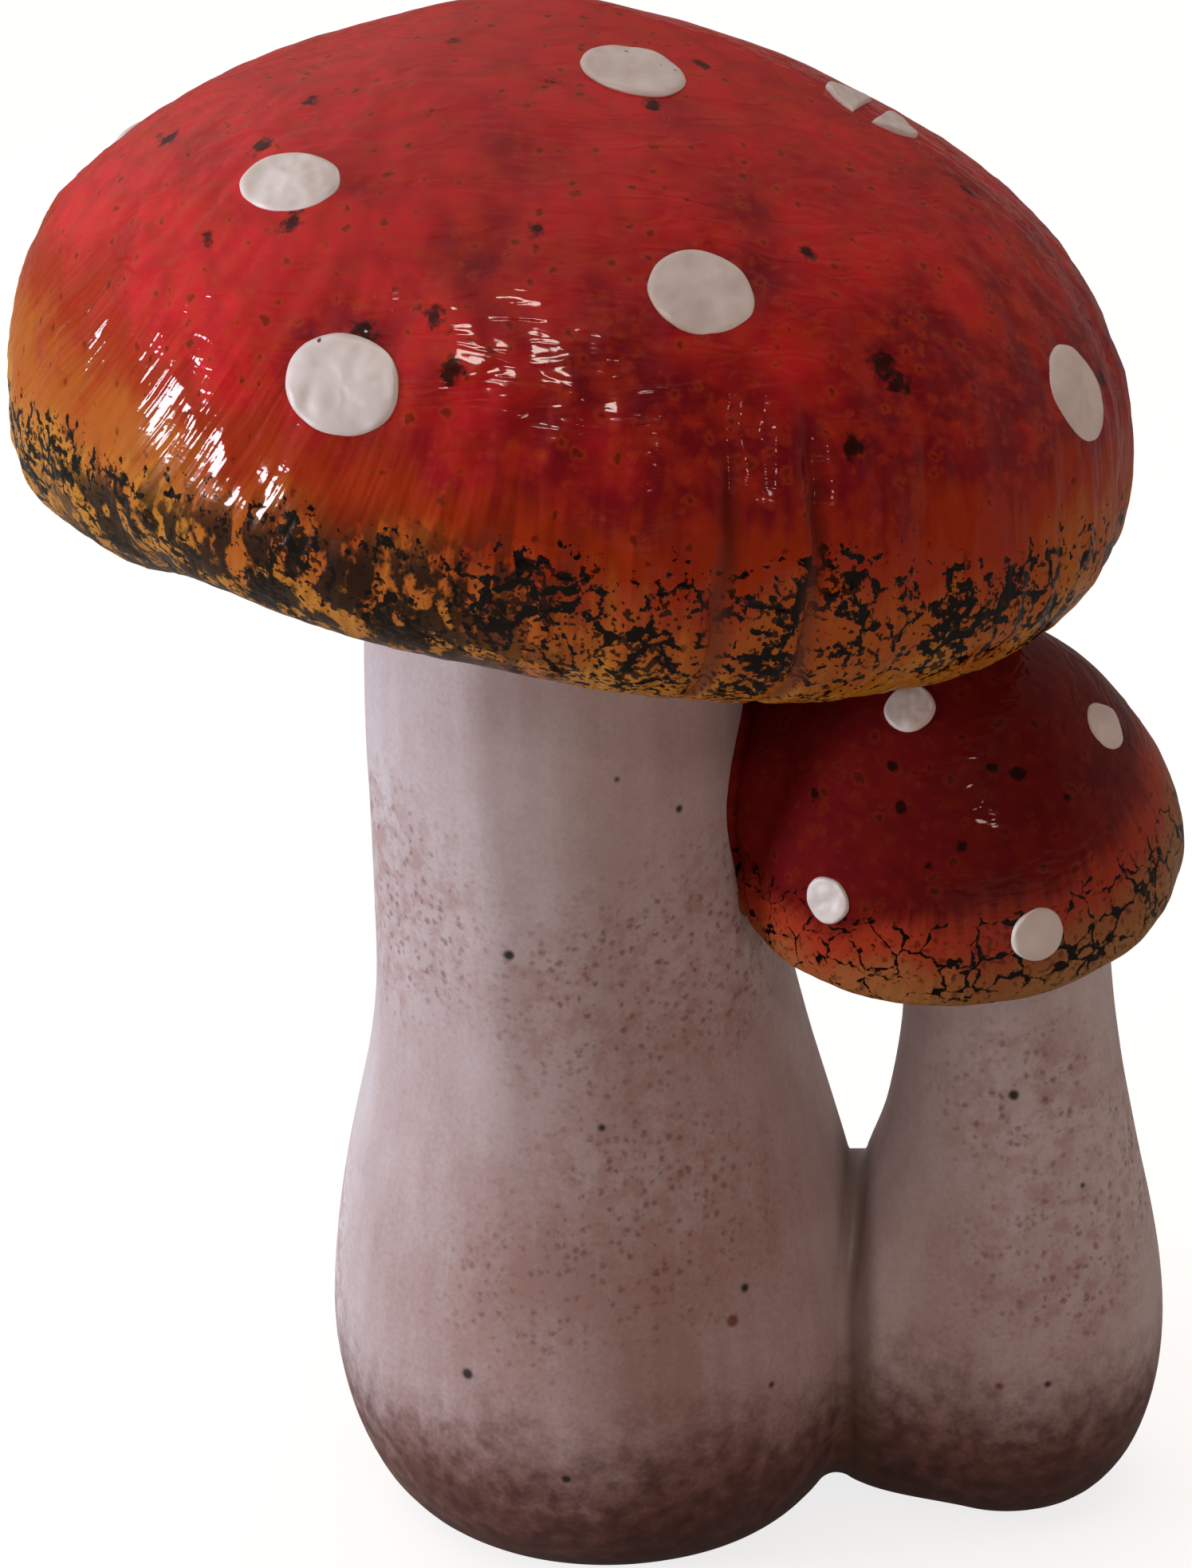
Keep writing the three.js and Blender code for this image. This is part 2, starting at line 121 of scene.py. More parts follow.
def hand_smooth(piece, axis, lean, flat_edges):
    """Moves a stem's skin along its normals: soft upright edges between wiped flats, and shallow dents."""
    moves = []
    for vert in piece.data.vertices:
        spot = vert.co
        turn = math.atan2(spot.y - axis.y, spot.x - axis.x - lean * spot.z)
        edges = 0.0
        for azimuth, height in flat_edges.items():
            away = math.remainder(turn - math.radians(azimuth), math.tau) / FLAT_EDGE_WIDTH
            edges += height / (1.0 + away * away)
        upper = min(1.0, max(0.0, (spot.z - FLATS_FROM) / (FLATS_FULL - FLATS_FROM)))
        dent = noise.noise(spot / DENT_SIZE) * DENT_DEPTH
        wave = noise.noise(spot / WAVE_SIZE) * WAVE_DEPTH
        clear = min(1.0, max(0.0, spot.z / GROUND_BAND))
        moves.append(vert.normal * clear * (edges * upper + dent + wave))
    for vert, move in zip(piece.data.vertices, moves):
        vert.co += move
    piece.data.update()


large_stem = clay_copy("large_stem", "large_stem_glazed", STEM_HALVINGS)
hand_smooth(large_stem, LARGE_STEM_AXIS, LARGE_STEM_LEAN, FLAT_EDGES)

# Marks on the large stem, each by its azimuth in degrees and its height and width in millimetres.
PINHOLES = (
    (-113, 123, 2.0), (-91, 91, 1.4), (-67, 147, 1.5), (-59, 59, 1.7), (-121, 45, 2.2), (-100, 27, 1.8),
    (-55, 40, 1.3), (-85, 155, 1.0), (40, 80, 1.6), (150, 110, 1.4), (100, 60, 1.8))
RUST_SPOT = (-63, 54, 2.4)
FRECKLE_PATCHES = (
    (-88, 112, 40), (-60, 119, 42), (-152, 126, 46), (-80, 74, 46), (-110, 60, 30), (20, 120, 50),
    (110, 90, 50), (170, 50, 40))
STEM_CREASE_X_MM = 42.0
EVEN, SOFT = "LINEAR", "SMOOTHSTEP"


def linear(code):
    """Linear RGBA of an sRGB hex colour."""
    parts = [int(code[place:place + 2], 16) / 255 for place in (0, 2, 4)]
    return (*(part / 12.92 if part <= 0.04045 else ((part + 0.055) / 1.055) ** 2.4 for part in parts), 1.0)


def add(tree, kind, sockets=None, **settings):
    """Adds a node. sockets maps its inputs, by name or number, to a value, a socket or another node."""
    node = tree.nodes.new(kind)
    for setting, value in settings.items():
        setattr(node, setting, value)
    for key, value in (sockets or {}).items():
        named = (entry for entry in node.inputs if entry.enabled and entry.name == key)
        entry = node.inputs[key] if isinstance(key, int) else next(named)
        if isinstance(value, bpy.types.Node):
            value = next(result for result in value.outputs if result.enabled)
        if isinstance(value, bpy.types.NodeSocket):
            tree.links.new(value, entry)
        else:
            entry.default_value = value
    return node


def blank_material(name):
    """A new material with an empty node tree, and that tree."""
    material = bpy.data.materials.new(name)
    material.use_nodes = True
    tree = material.node_tree
    tree.nodes.clear()
    return material, tree


def surface_of(piece):
    """Search tree of a piece's finished surface."""
    return BVHTree.FromPolygons(
        [vert.co for vert in piece.data.vertices], [face.vertices for face in piece.data.polygons])


def direction(azimuth, elevation=0.0):
    """Unit direction at an azimuth and an elevation in degrees."""
    turn, rise = math.radians(azimuth), math.radians(elevation)
    return Vector((math.cos(turn) * math.cos(rise), math.sin(turn) * math.cos(rise), math.sin(rise)))


def marks_on(piece, axis, marks):
    """Millimetre places on a stem of marks given by azimuth, height and width, each with its width."""
    surface = surface_of(piece)
    found = []
    for azimuth, height, width in marks:
        ray = direction(azimuth)
        far = axis + Vector((0, 0, height * MM)) + ray
        found.append((surface.ray_cast(far, -ray)[0] / MM, width))
    return found


def edge_of_marks(tree, at, marks):
    """Distance from the edge of the nearest round mark, negative inside. marks are places with widths."""
    nearest = None
    for place, width in marks:
        apart = add(tree, "ShaderNodeVectorMath", {0: at, 1: place}, operation="DISTANCE")
        edge = add(tree, "ShaderNodeMath", {0: apart.outputs["Value"], 1: width / 2}, operation="SUBTRACT")
        if nearest:
            edge = add(tree, "ShaderNodeMath", {0: nearest, 1: edge}, operation="MINIMUM")
        nearest = edge
    return nearest


def satin_glaze(name, stem, axis, front_mm, pinholes, rust, patches):
    """Satin off-white glaze over earthenware, with pinholes, pink and brown freckles and a rubbed foot.

    It looks chalky and cool, with soft freckles of under a millimetre gathered in patches, a brown foot
    brushed upwards, and a dark ochre in the crease between the stems that is partly stain and partly painted
    shade. front_mm holds the depths between which it turns pinker towards the front. pinholes, rust and
    patches are marks on the stem.
    """
    cloud_mm, mottle_mm, grain_mm, streak_mm, freckle_mm, shake_mm = 32.0, 3.6, 0.9, 4.0, 1.5, 1.5
    material, tree = blank_material(name)
    coordinates = add(tree, "ShaderNodeTexCoord")
    at = add(tree, "ShaderNodeMapping", {"Vector": coordinates.outputs["Object"], "Scale": (1 / MM,) * 3})
    split = add(tree, "ShaderNodeSeparateXYZ", {"Vector": at})
    across, depth, height = (split.outputs[way] for way in "XYZ")
    drawn_at = add(tree, "ShaderNodeVectorMath", {0: at, 1: (1.0, 1.0, 0.1)}, operation="MULTIPLY")
    cloud, mottle, grain, streak = (
        add(tree, "ShaderNodeTexNoise", {"Vector": spot, "Scale": 1 / size_mm, "Detail": 3.0})
        for spot, size_mm in ((at, cloud_mm), (at, mottle_mm), (at, grain_mm), (drawn_at, streak_mm)))
    shaken = add(tree, "ShaderNodeVectorMath", {
        0: grain.outputs["Color"], 1: (shake_mm,) * 3, 2: at}, operation="MULTIPLY_ADD")
    dots = add(tree, "ShaderNodeTexVoronoi", {"Vector": shaken, "Scale": 1 / freckle_mm})
    chance = add(tree, "ShaderNodeSeparateXYZ", {"Vector": dots.outputs["Color"]})
    offset = add(tree, "ShaderNodeMath", {0: across, 1: STEM_CREASE_X_MM}, operation="SUBTRACT")
    reach = add(tree, "ShaderNodeMath", {0: offset}, operation="ABSOLUTE")
    patch_edge, rust_edge, hole_edge = (
        edge_of_marks(tree, at, marks_on(stem, axis, marks)) for marks in (patches, rust, pinholes))

    share = {}
    for label, value, start, end, low, high, blend in (
            ("front", depth, *front_mm, 0.0, 1.0, SOFT),
            ("lower", height, 140.0, 60.0, 0.4, 0.8, SOFT),
            ("clouded", cloud, 0.35, 0.65, -0.12, 0.2, EVEN),
            ("drawn", streak, 0.3, 0.7, -0.09, 0.09, EVEN),
            ("grained", grain, 0.3, 0.7, -0.08, 0.08, EVEN),
            ("patch", patch_edge, 8.0, -10.0, 0.12, 1.0, SOFT),
            ("blushed", mottle, 0.42, 0.66, 0.0, 0.5, SOFT),
            ("dot_size", chance.outputs["X"], 0.2, 1.0, 0.0, 0.42, EVEN),
            ("waved", cloud, 0.0, 1.0, 11.0, -11.0, EVEN),
            ("dabbed", mottle, 0.0, 1.0, 9.0, -9.0, EVEN),
            ("specked", grain, 0.0, 1.0, 1.6, -1.6, EVEN),
            ("rubbing", mottle, 0.34, 0.64, 0.0, 1.0, EVEN),
            ("crease", reach, 4.5, 0.8, 0.0, 1.0, SOFT),
            ("below", height, 88.0, 66.0, 0.0, 0.62, SOFT),
            ("rust", rust_edge, 0.4, -0.6, 0.0, 0.85, SOFT),
            ("hole", hole_edge, 0.35, -0.55, 0.0, 0.95, SOFT),
            ("gloss", cloud, 0.0, 1.0, 0.42, 0.58, EVEN)):
        share[label] = add(tree, "ShaderNodeMapRange", {
            "Value": value, "From Min": start, "From Max": end, "To Min": low, "To Max": high},
            interpolation_type=blend)

    blush = add(tree, "ShaderNodeMath", {0: share["front"], 1: share["lower"]}, operation="MULTIPLY")
    for label in ("clouded", "drawn", "grained"):
        blush = add(tree, "ShaderNodeMath", {0: blush, 1: share[label]}, operation="ADD")
    share["blush"] = add(tree, "ShaderNodeMath", {0: blush, 1: 0.0}, operation="ADD", use_clamp=True)
    foot_height = height
    for label in ("waved", "dabbed", "specked"):
        foot_height = add(tree, "ShaderNodeMath", {0: foot_height, 1: share[label]}, operation="ADD")
    dot_edge = add(tree, "ShaderNodeMath", {
        0: share["dot_size"], 1: dots.outputs["Distance"]}, operation="SUBTRACT")
    for label, value, start, end, high in (
            ("dot", dot_edge, -0.28, 0.3, 0.66), ("foot", foot_height, 45.0, 17.0, 0.96),
            ("low", foot_height, 24.0, 2.0, 0.85)):
        share[label] = add(tree, "ShaderNodeMapRange", {
            "Value": value, "From Min": start, "From Max": end, "To Max": high}, interpolation_type=SOFT)
    # The crease between the stems is darkened to ochre brown low down: partly stain and partly painted
    # shade.
    for label, first, second in (
            ("pink", "blushed", "patch"), ("freckle", "dot", "patch"), ("stain_and_shade", "crease", "below")):
        share[label] = add(tree, "ShaderNodeMath", {0: share[first], 1: share[second]}, operation="MULTIPLY")

    oxide = add(tree, "ShaderNodeMix", {
        "Factor": share["rubbing"], "A": linear("744C43"), "B": linear("56332C")}, data_type="RGBA")
    glaze = linear("D3C9CD")
    for label, paint in (
            ("blush", linear("A38681")), ("pink", linear("A57C74")), ("freckle", linear("74463E")),
            ("foot", oxide), ("low", linear("3E201A")), ("stain_and_shade", linear("5A412C")),
            ("rust", linear("6E2C1E")), ("hole", linear("1C1517"))):
        glaze = add(tree, "ShaderNodeMix", {
            "Factor": share[label], "A": glaze, "B": paint}, data_type="RGBA")

    sunk = add(tree, "ShaderNodeMapRange", {"Value": share["hole"], "To Max": -0.6})
    skin = add(tree, "ShaderNodeMath", {0: grain, 1: 0.1, 2: sunk}, operation="MULTIPLY_ADD")
    relief = add(tree, "ShaderNodeBump", {"Height": skin, "Strength": 0.5, "Distance": 0.35 * MM})
    shader = add(tree, "ShaderNodeBsdfPrincipled", {
        "Base Color": glaze, "Roughness": share["gloss"], "Normal": relief, "Specular IOR Level": 0.3})
    add(tree, "ShaderNodeOutputMaterial", {"Surface": shader})
    return material


def dress(piece, material, slot, *nodes):
    """Gives a finished piece its material, hangs it under the root and hides its CAD nodes. slot is not
    used.
    """
    piece.data.materials.clear()
    piece.data.materials.append(material)
    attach(piece, "root")
    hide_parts(*nodes)


stem_glaze = satin_glaze(
    "satin_white_stem_glaze", large_stem, LARGE_STEM_AXIS, front_mm=(-2.0, -34.0), pinholes=PINHOLES,
    rust=(RUST_SPOT,), patches=FRECKLE_PATCHES)
dress(large_stem, stem_glaze, "stem_glaze", "large_stem")

# Small stem. The same kind of casting, half as wide. Its side was pressed against the large stem while soft,
# so the bellies meet in a crease. It has the same satin glaze and brown foot.
SMALL_STEM_AXIS = Vector((69.1, -5.3, 0.0)) * MM
SMALL_STEM_LEAN = 0.0
SMALL_FLAT_EDGES = {-128: 0.3 * MM, -60: 0.4 * MM, 12: 0.3 * MM, 70: 0.3 * MM}
SMALL_PINHOLES = ((-91, 88, 2.0), (-79, 35, 1.4), (-60, 70, 1.0), (60, 60, 1.5))
SMALL_RUST_SPOT = (-96, 35, 1.5)
SMALL_FRECKLE_PATCHES = ((-84, 86, 30), (-72, 58, 34), (-20, 70, 30), (80, 60, 40))
PRESS_OVERLAP = 0.5 * MM
STEM_PRESS_LOW, STEM_PRESS_HIGH = (0.5 * MM, 4 * MM), (42 * MM, 77 * MM)
STEM_PRESS_NEAR, STEM_PRESS_FAR = 5 * MM, 32 * MM


def ramp(value, start, end):
    """0 at start, 1 at end, and a smooth rise between."""
    share = min(1.0, max(0.0, (value - start) / (end - start)))
    return share * share * (3.0 - 2.0 * share)


def press_against(piece, wall, toward, low, high, near, far):
    """Pulls the side of a soft piece onto a wall in the level direction toward.

    Places nearer to the wall than near come to touch it and those beyond far stay. low and high are the
    heights over which the pull begins and ends.
    """
    surface = surface_of(wall)
    moves = []
    for vert in piece.data.vertices:
        touch, _, _, gap = surface.ray_cast(vert.co, toward, far)
        if touch and vert.normal.dot(toward) > 0:
            pull = (1.0 - ramp(gap, near, far)) * ramp(vert.co.z, *low) * (1.0 - ramp(vert.co.z, *high))
            moves.append((vert.index, toward * (gap + PRESS_OVERLAP) * pull))
    for index, move in moves:
        piece.data.vertices[index].co += move
    piece.data.update()


small_stem = clay_copy("small_stem", "small_stem_glazed", STEM_HALVINGS)
hand_smooth(small_stem, SMALL_STEM_AXIS, SMALL_STEM_LEAN, SMALL_FLAT_EDGES)
beside = (LARGE_STEM_AXIS - SMALL_STEM_AXIS).normalized()
press_against(
    small_stem, large_stem, beside, STEM_PRESS_LOW, STEM_PRESS_HIGH, STEM_PRESS_NEAR, STEM_PRESS_FAR)
small_stem_glaze = satin_glaze(
    "satin_white_small_stem_glaze", small_stem, SMALL_STEM_AXIS, front_mm=(-2.0, -48.0),
    pinholes=SMALL_PINHOLES, rust=(SMALL_RUST_SPOT,), patches=SMALL_FRECKLE_PATCHES)
dress(small_stem, small_stem_glaze, "stem_glaze", "small_stem")

# Stem bridge. Clay slip that lutes the two stems together where their bellies touch.
# It was wiped round with a wet fingertip, so it is a hollow fillet that follows both walls.
UP = Vector((0, 0, 1))
FILLET_STEPS, FILLET_ARC_POINTS = 160, 9
FILLET_SINK, FILLET_ROOT = 0.02 * MM, 0.35
SEARCH_STEPS, SEARCH_MISS = 24, 0.002 * MM
LEAST_DETERMINANT, LEAST_MOVE = 0.02, 1e-9
BRIDGE_BALL, BRIDGE_TOP_BALL, BRIDGE_LOW_BALL = 2.0 * MM, 1.8 * MM, 5.0 * MM
BRIDGE_REACH = 18 * MM


def luted_fillet(name, first, second, middle, right, upward, balls, reach):
    """Closed ring of slip in the corner between two pieces, shaped by rolling a ball round the joint.

    The ball touches both pieces. It rolls round middle in the plane of right and upward, and reach is the
    distance from middle at which the search for its first place begins. balls are its radius at the sides,
    at the top and at the bottom of the joint. The slip's edges sink a little into both walls, and its root
    lies nearer to middle by FILLET_ROOT of the ball.
    """
    walls = surface_of(first), surface_of(second)
    across = right.cross(upward)
    side_ball, top_ball, low_ball = balls
    arc_shares = [point / (FILLET_ARC_POINTS - 1) for point in range(FILLET_ARC_POINTS)]
    ring = []
    along, height = reach, 0.0
    for step in range(FILLET_STEPS):
        turn = math.tau * step / FILLET_STEPS
        outward = right * math.cos(turn) + upward * math.sin(turn)
        end_ball = top_ball if math.sin(turn) > 0 else low_ball
        ball = side_ball + (end_ball - side_ball) * abs(math.sin(turn)) ** 3
        for _ in range(SEARCH_STEPS):
            centre = middle + outward * along + across * height
            misses, slopes, touches = [], [], []
            for wall in walls:
                touch, normal, _, distance = wall.find_nearest(centre)
                side = 1.0 if (centre - touch).dot(normal) > 0 else -1.0
                away = (centre - touch).normalized() * side
                misses.append(side * distance - ball)
                slopes.append((away.dot(outward), away.dot(across)))
                touches.append(touch - away * FILLET_SINK)
            (first_along, first_up), (second_along, second_up) = slopes
            determinant = first_along * second_up - first_up * second_along
            if abs(determinant) < LEAST_DETERMINANT:
                determinant = math.copysign(LEAST_DETERMINANT, determinant)
            along_move = (second_up * misses[0] - first_up * misses[1]) / determinant
            up_move = (first_along * misses[1] - second_along * misses[0]) / determinant
            limit = min(1.0, ball / max(abs(along_move), abs(up_move), LEAST_MOVE))
            along -= along_move * limit
            height -= up_move * limit
            if max(map(abs, misses)) < SEARCH_MISS:
                break
        start, end = (touch - centre for touch in touches)
        arc = [centre + start.slerp(end, share) * (ball + FILLET_SINK) for share in arc_shares]
        root = [touch - outward * ball * FILLET_ROOT for touch in touches]
        ring.append(arc + root[::-1])
    slip = bmesh.new()
    rows = [[slip.verts.new(spot) for spot in section] for section in ring]
    count = len(rows[0])
    for step, row in enumerate(rows):
        following = rows[(step + 1) % len(rows)]
        for spot in range(count):
            neighbour = (spot + 1) % count
            slip.faces.new((row[spot], following[spot], following[neighbour], row[neighbour]))
        for spot in (0, FILLET_ARC_POINTS - 1):
            slip.edges.get((row[spot], following[spot])).smooth = False
    bmesh.ops.recalc_face_normals(slip, faces=slip.faces)
    piece = piece_from(slip, name)
    for face in piece.data.polygons:
        face.use_smooth = True
    return piece


bridge_low, bridge_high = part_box("stem_bridge")
bridge_middle = (bridge_low + bridge_high) / 2
stem_bridge = luted_fillet(
    "stem_bridge_slip", large_stem, small_stem, bridge_middle, beside.cross(UP), UP,
    (BRIDGE_BALL, BRIDGE_TOP_BALL, BRIDGE_LOW_BALL), BRIDGE_REACH)
dress(stem_bridge, stem_glaze, "slip", "stem_bridge")

# Large cap. A hollow casting with a domed top, gathered into fine pleats round the shoulder and rolled under
# at the rim, with two deep creases at the front. It was brushed from ochre at the rim to red at the crown,
# sponged with black over the rim and covered in a thick clear glaze.
LARGE_CAP_SEAT = Vector((-5.67, -1.31, 199.0)) * MM
LARGE_CAP_PITCH, LARGE_CAP_ROLL = -10.3, 5.3
LARGE_CAP_RADIUS_MM = 90.6
LARGE_CAP_HALVINGS = 3
LARGE_CAP_CREASES = -74.25, -65.25
CREASE_WIDTH_MM, CREASE_DEPTH_MM, CREASE_DRIFT_MM = 2.4, 1.2, 5.0
# How much wider than a crease its painted shade spreads.
CREASE_SHADE_SPREAD = 1.2
STROKE_LEAN = 1.2
WALL_MIDDLE = 5 * MM
SOCKET_RISE = 11.5 * MM
LEVEL = (1.0, 1.0, 0.0)


def cap_place(seat, pitch, roll):
    """Matrix from a cap's own millimetres, with its axis up, to its place on the stem."""
    tilt = Euler((math.radians(pitch), 0, 0)).to_matrix() @ Euler((0, math.radians(roll), 0)).to_matrix()
    return Matrix.LocRotScale(seat, tilt, (MM,) * 3)


def leaning_direction(tree, spot, rim):
    """Level direction from a cap's axis, turned with height on the left so that strokes and pleats lean."""
    split = add(tree, "ShaderNodeSeparateXYZ", {"Vector": spot})
    level = add(tree, "ShaderNodeVectorMath", {0: spot, 1: LEVEL}, operation="MULTIPLY")
    far = add(tree, "ShaderNodeMath", {0: split.outputs["X"], 1: rim}, operation="DIVIDE")
    high = add(tree, "ShaderNodeMath", {0: split.outputs["Z"], 1: rim}, operation="DIVIDE")
    lean = add(tree, "ShaderNodeMapRange", {
        "Value": far, "From Min": -0.85, "From Max": -0.05, "To Min": -STROKE_LEAN, "To Max": 0.0})
    angle = add(tree, "ShaderNodeMath", {0: lean, 1: high}, operation="MULTIPLY")
    turned = add(tree, "ShaderNodeVectorRotate", {"Vector": level, "Angle": angle}, rotation_type="Z_AXIS")
    return add(tree, "ShaderNodeVectorMath", {0: turned}, operation="NORMALIZE")


def crease_closeness(tree, spot, rim, azimuths, width):
    """1 in the bottom of the nearest crease, falling to 0 beside it. Creases run down at azimuths."""
    drift = add(tree, "ShaderNodeTexNoise", {"Vector": spot, "Scale": 0.09, "Detail": 1.0})
    drifted = add(tree, "ShaderNodeVectorMath", {
        0: drift.outputs["Color"], 1: (CREASE_DRIFT_MM,) * 3, 2: spot}, operation="MULTIPLY_ADD")
    centred = add(tree, "ShaderNodeVectorMath", {
        0: drifted, 1: (CREASE_DRIFT_MM / 2,) * 3}, operation="SUBTRACT")
    level = add(tree, "ShaderNodeVectorMath", {0: centred, 1: LEVEL}, operation="MULTIPLY")
    around = add(tree, "ShaderNodeVectorMath", {0: level}, operation="NORMALIZE")
    closest = None
    for azimuth in azimuths:
        apart = add(tree, "ShaderNodeVectorMath", {
            0: around, 1: direction(azimuth)}, operation="DISTANCE").outputs["Value"]
        if closest:
            apart = add(tree, "ShaderNodeMath", {0: closest, 1: apart}, operation="MINIMUM")
        closest = apart
    gap = add(tree, "ShaderNodeMath", {0: closest, 1: rim}, operation="MULTIPLY")
    return add(tree, "ShaderNodeMapRange", {
        "Value": gap, "From Min": width, "From Max": 0.0}, interpolation_type=SOFT)


def blank_tree(name, sizes, objects=()):
    """Geometry Nodes tree that takes a geometry, objects, named sizes and a material, and its inputs."""
    tree = bpy.data.node_groups.new(name, "GeometryNodeTree")
    kinds = {
        "Geometry": "Geometry", **dict.fromkeys(objects, "Object"), **dict.fromkeys(sizes, "Float"),
        "Material": "Material"}
    for entry, kind in kinds.items():
        socket = tree.interface.new_socket(entry, in_out="INPUT", socket_type="NodeSocket" + kind)
        if entry in sizes:
            socket.default_value = sizes[entry]
    tree.interface.new_socket("Geometry", in_out="OUTPUT", socket_type="NodeSocketGeometry")
    return tree, add(tree, "NodeGroupInput").outputs


def gathered_clay_tree(name, creases):
    """Geometry Nodes tree that presses pleats, folds, creases, lumps and dents into a cap in its own frame.

    Its sizes are in millimetres.
    """
    tree, given = blank_tree(name, {
        "Rim Radius": 90.0, "Pleat Spacing": 2.6, "Pleat Depth": 0.2, "Fold Spacing": 7.5, "Fold Depth": 0.5,
        "Crease Width": 2.0, "Crease Depth": 1.5, "Lump Size": 5.0, "Lump Depth": 0.3, "Dent Size": 34.0,
        "Dent Depth": 0.9})
    rim = given["Rim Radius"]
    spot = add(tree, "GeometryNodeInputPosition")
    split = add(tree, "ShaderNodeSeparateXYZ", {"Vector": spot})
    level = add(tree, "ShaderNodeVectorMath", {0: spot, 1: LEVEL}, operation="MULTIPLY")
    radius = add(tree, "ShaderNodeVectorMath", {0: level}, operation="LENGTH")
    share = add(tree, "ShaderNodeMath", {0: radius.outputs["Value"], 1: rim}, operation="DIVIDE")
    shoulder = add(tree, "ShaderNodeMapRange", {
        "Value": share, "From Min": 0.74, "From Max": 0.95}, interpolation_type=SOFT)
    around = leaning_direction(tree, spot, rim)

    total = None
    for spacing, depth, length, detail in (
            ("Pleat Spacing", "Pleat Depth", 0.05, 1.0), ("Fold Spacing", "Fold Depth", 0.02, 0.0)):
        count = add(tree, "ShaderNodeMath", {0: rim, 1: given[spacing]}, operation="DIVIDE")
        spread = add(tree, "ShaderNodeVectorMath", {0: around, "Scale": count}, operation="SCALE")
        drop = add(tree, "ShaderNodeVectorMath", {0: spot, 1: (0.0, 0.0, length)}, operation="MULTIPLY")
        pleat_at = add(tree, "ShaderNodeVectorMath", {0: spread, 1: drop}, operation="ADD")
        pleat = add(tree, "ShaderNodeTexNoise", {"Vector": pleat_at, "Scale": 1.0, "Detail": detail})
        wave = add(tree, "ShaderNodeMapRange", {
            "Value": pleat, "From Min": 0.2, "From Max": 0.8, "To Min": -1.0, "To Max": 1.0})
        press = add(tree, "ShaderNodeMath", {0: wave, 1: given[depth]}, operation="MULTIPLY")
        if total:
            press = add(tree, "ShaderNodeMath", {0: total, 1: press}, operation="ADD")
        total = press
    patch = add(tree, "ShaderNodeTexNoise", {"Vector": spot, "Scale": 0.035, "Detail": 1.0})
    strength = add(tree, "ShaderNodeMapRange", {
        "Value": patch, "From Min": 0.35, "From Max": 0.65, "To Min": 0.45, "To Max": 1.15})
    gathered = add(tree, "ShaderNodeMath", {0: total, 1: strength}, operation="MULTIPLY")
    if creases:
        crease = crease_closeness(tree, spot, rim, creases, given["Crease Width"])
        upper = add(tree, "ShaderNodeMapRange", {
            "Value": split.outputs["Z"], "From Min": 30.0, "From Max": 12.0, "To Min": 0.0, "To Max": -1.0},
            interpolation_type=SOFT)
        groove = add(tree, "ShaderNodeMath", {0: crease, 1: upper}, operation="MULTIPLY")
        gathered = add(tree, "ShaderNodeMath", {
            0: groove, 1: given["Crease Depth"], 2: gathered}, operation="MULTIPLY_ADD")
    total = add(tree, "ShaderNodeMath", {0: gathered, 1: shoulder}, operation="MULTIPLY")

    lumpy = add(tree, "ShaderNodeMapRange", {
        "Value": share, "From Min": 0.3, "From Max": 0.9, "To Min": 0.25, "To Max": 1.0})
    for size, depth, where in (("Lump Size", "Lump Depth", lumpy), ("Dent Size", "Dent Depth", None)):
        scale = add(tree, "ShaderNodeMath", {0: 1.0, 1: given[size]}, operation="DIVIDE")
        bumps = add(tree, "ShaderNodeTexNoise", {"Vector": spot, "Scale": scale, "Detail": 1.0})
        wave = add(tree, "ShaderNodeMapRange", {
            "Value": bumps, "From Min": 0.2, "From Max": 0.8, "To Min": -1.0, "To Max": 1.0})
        if where:
            wave = add(tree, "ShaderNodeMath", {0: wave, 1: where}, operation="MULTIPLY")
        total = add(tree, "ShaderNodeMath", {0: wave, 1: given[depth], 2: total}, operation="MULTIPLY_ADD")

    normal = add(tree, "GeometryNodeInputNormal")
    press = add(tree, "ShaderNodeVectorMath", {0: normal, "Scale": total}, operation="SCALE")
    pressed = add(tree, "GeometryNodeSetPosition", {"Geometry": given["Geometry"], "Offset": press})
    real = add(tree, "GeometryNodeRealizeInstances", {"Geometry": pressed})
    painted = add(tree, "GeometryNodeSetMaterial", {"Geometry": real, "Material": given["Material"]})
    add(tree, "NodeGroupOutput", {"Geometry": painted})
    return tree


def run_tree(piece, tree, values):
    """Runs a Geometry Nodes tree on a piece with its named inputs set, and keeps the plain mesh."""
    modifier = piece.modifiers.new(tree.name, "NODES")
    modifier.node_group = tree
    for entry in tree.interface.items_tree:
        if entry.in_out == "INPUT" and entry.name in values:
            modifier[entry.identifier] = values[entry.name]
    settle(piece)


def glazed_cap(node, name, place, halvings, material, tree, values):
    """Cap casting with its gathered clay relief, pressed in the cap's own frame."""
    upward = place.to_3x3() @ UP
    upward.normalize()
    cap = clay_copy(node, name, halvings, (place.translation + upward * WALL_MIDDLE, upward * SOCKET_RISE))
    cap.data.transform(place.inverted())
    run_tree(cap, tree, {**values, "Material": material})
    cap.data.transform(place)
    cap.data.update()
    return cap


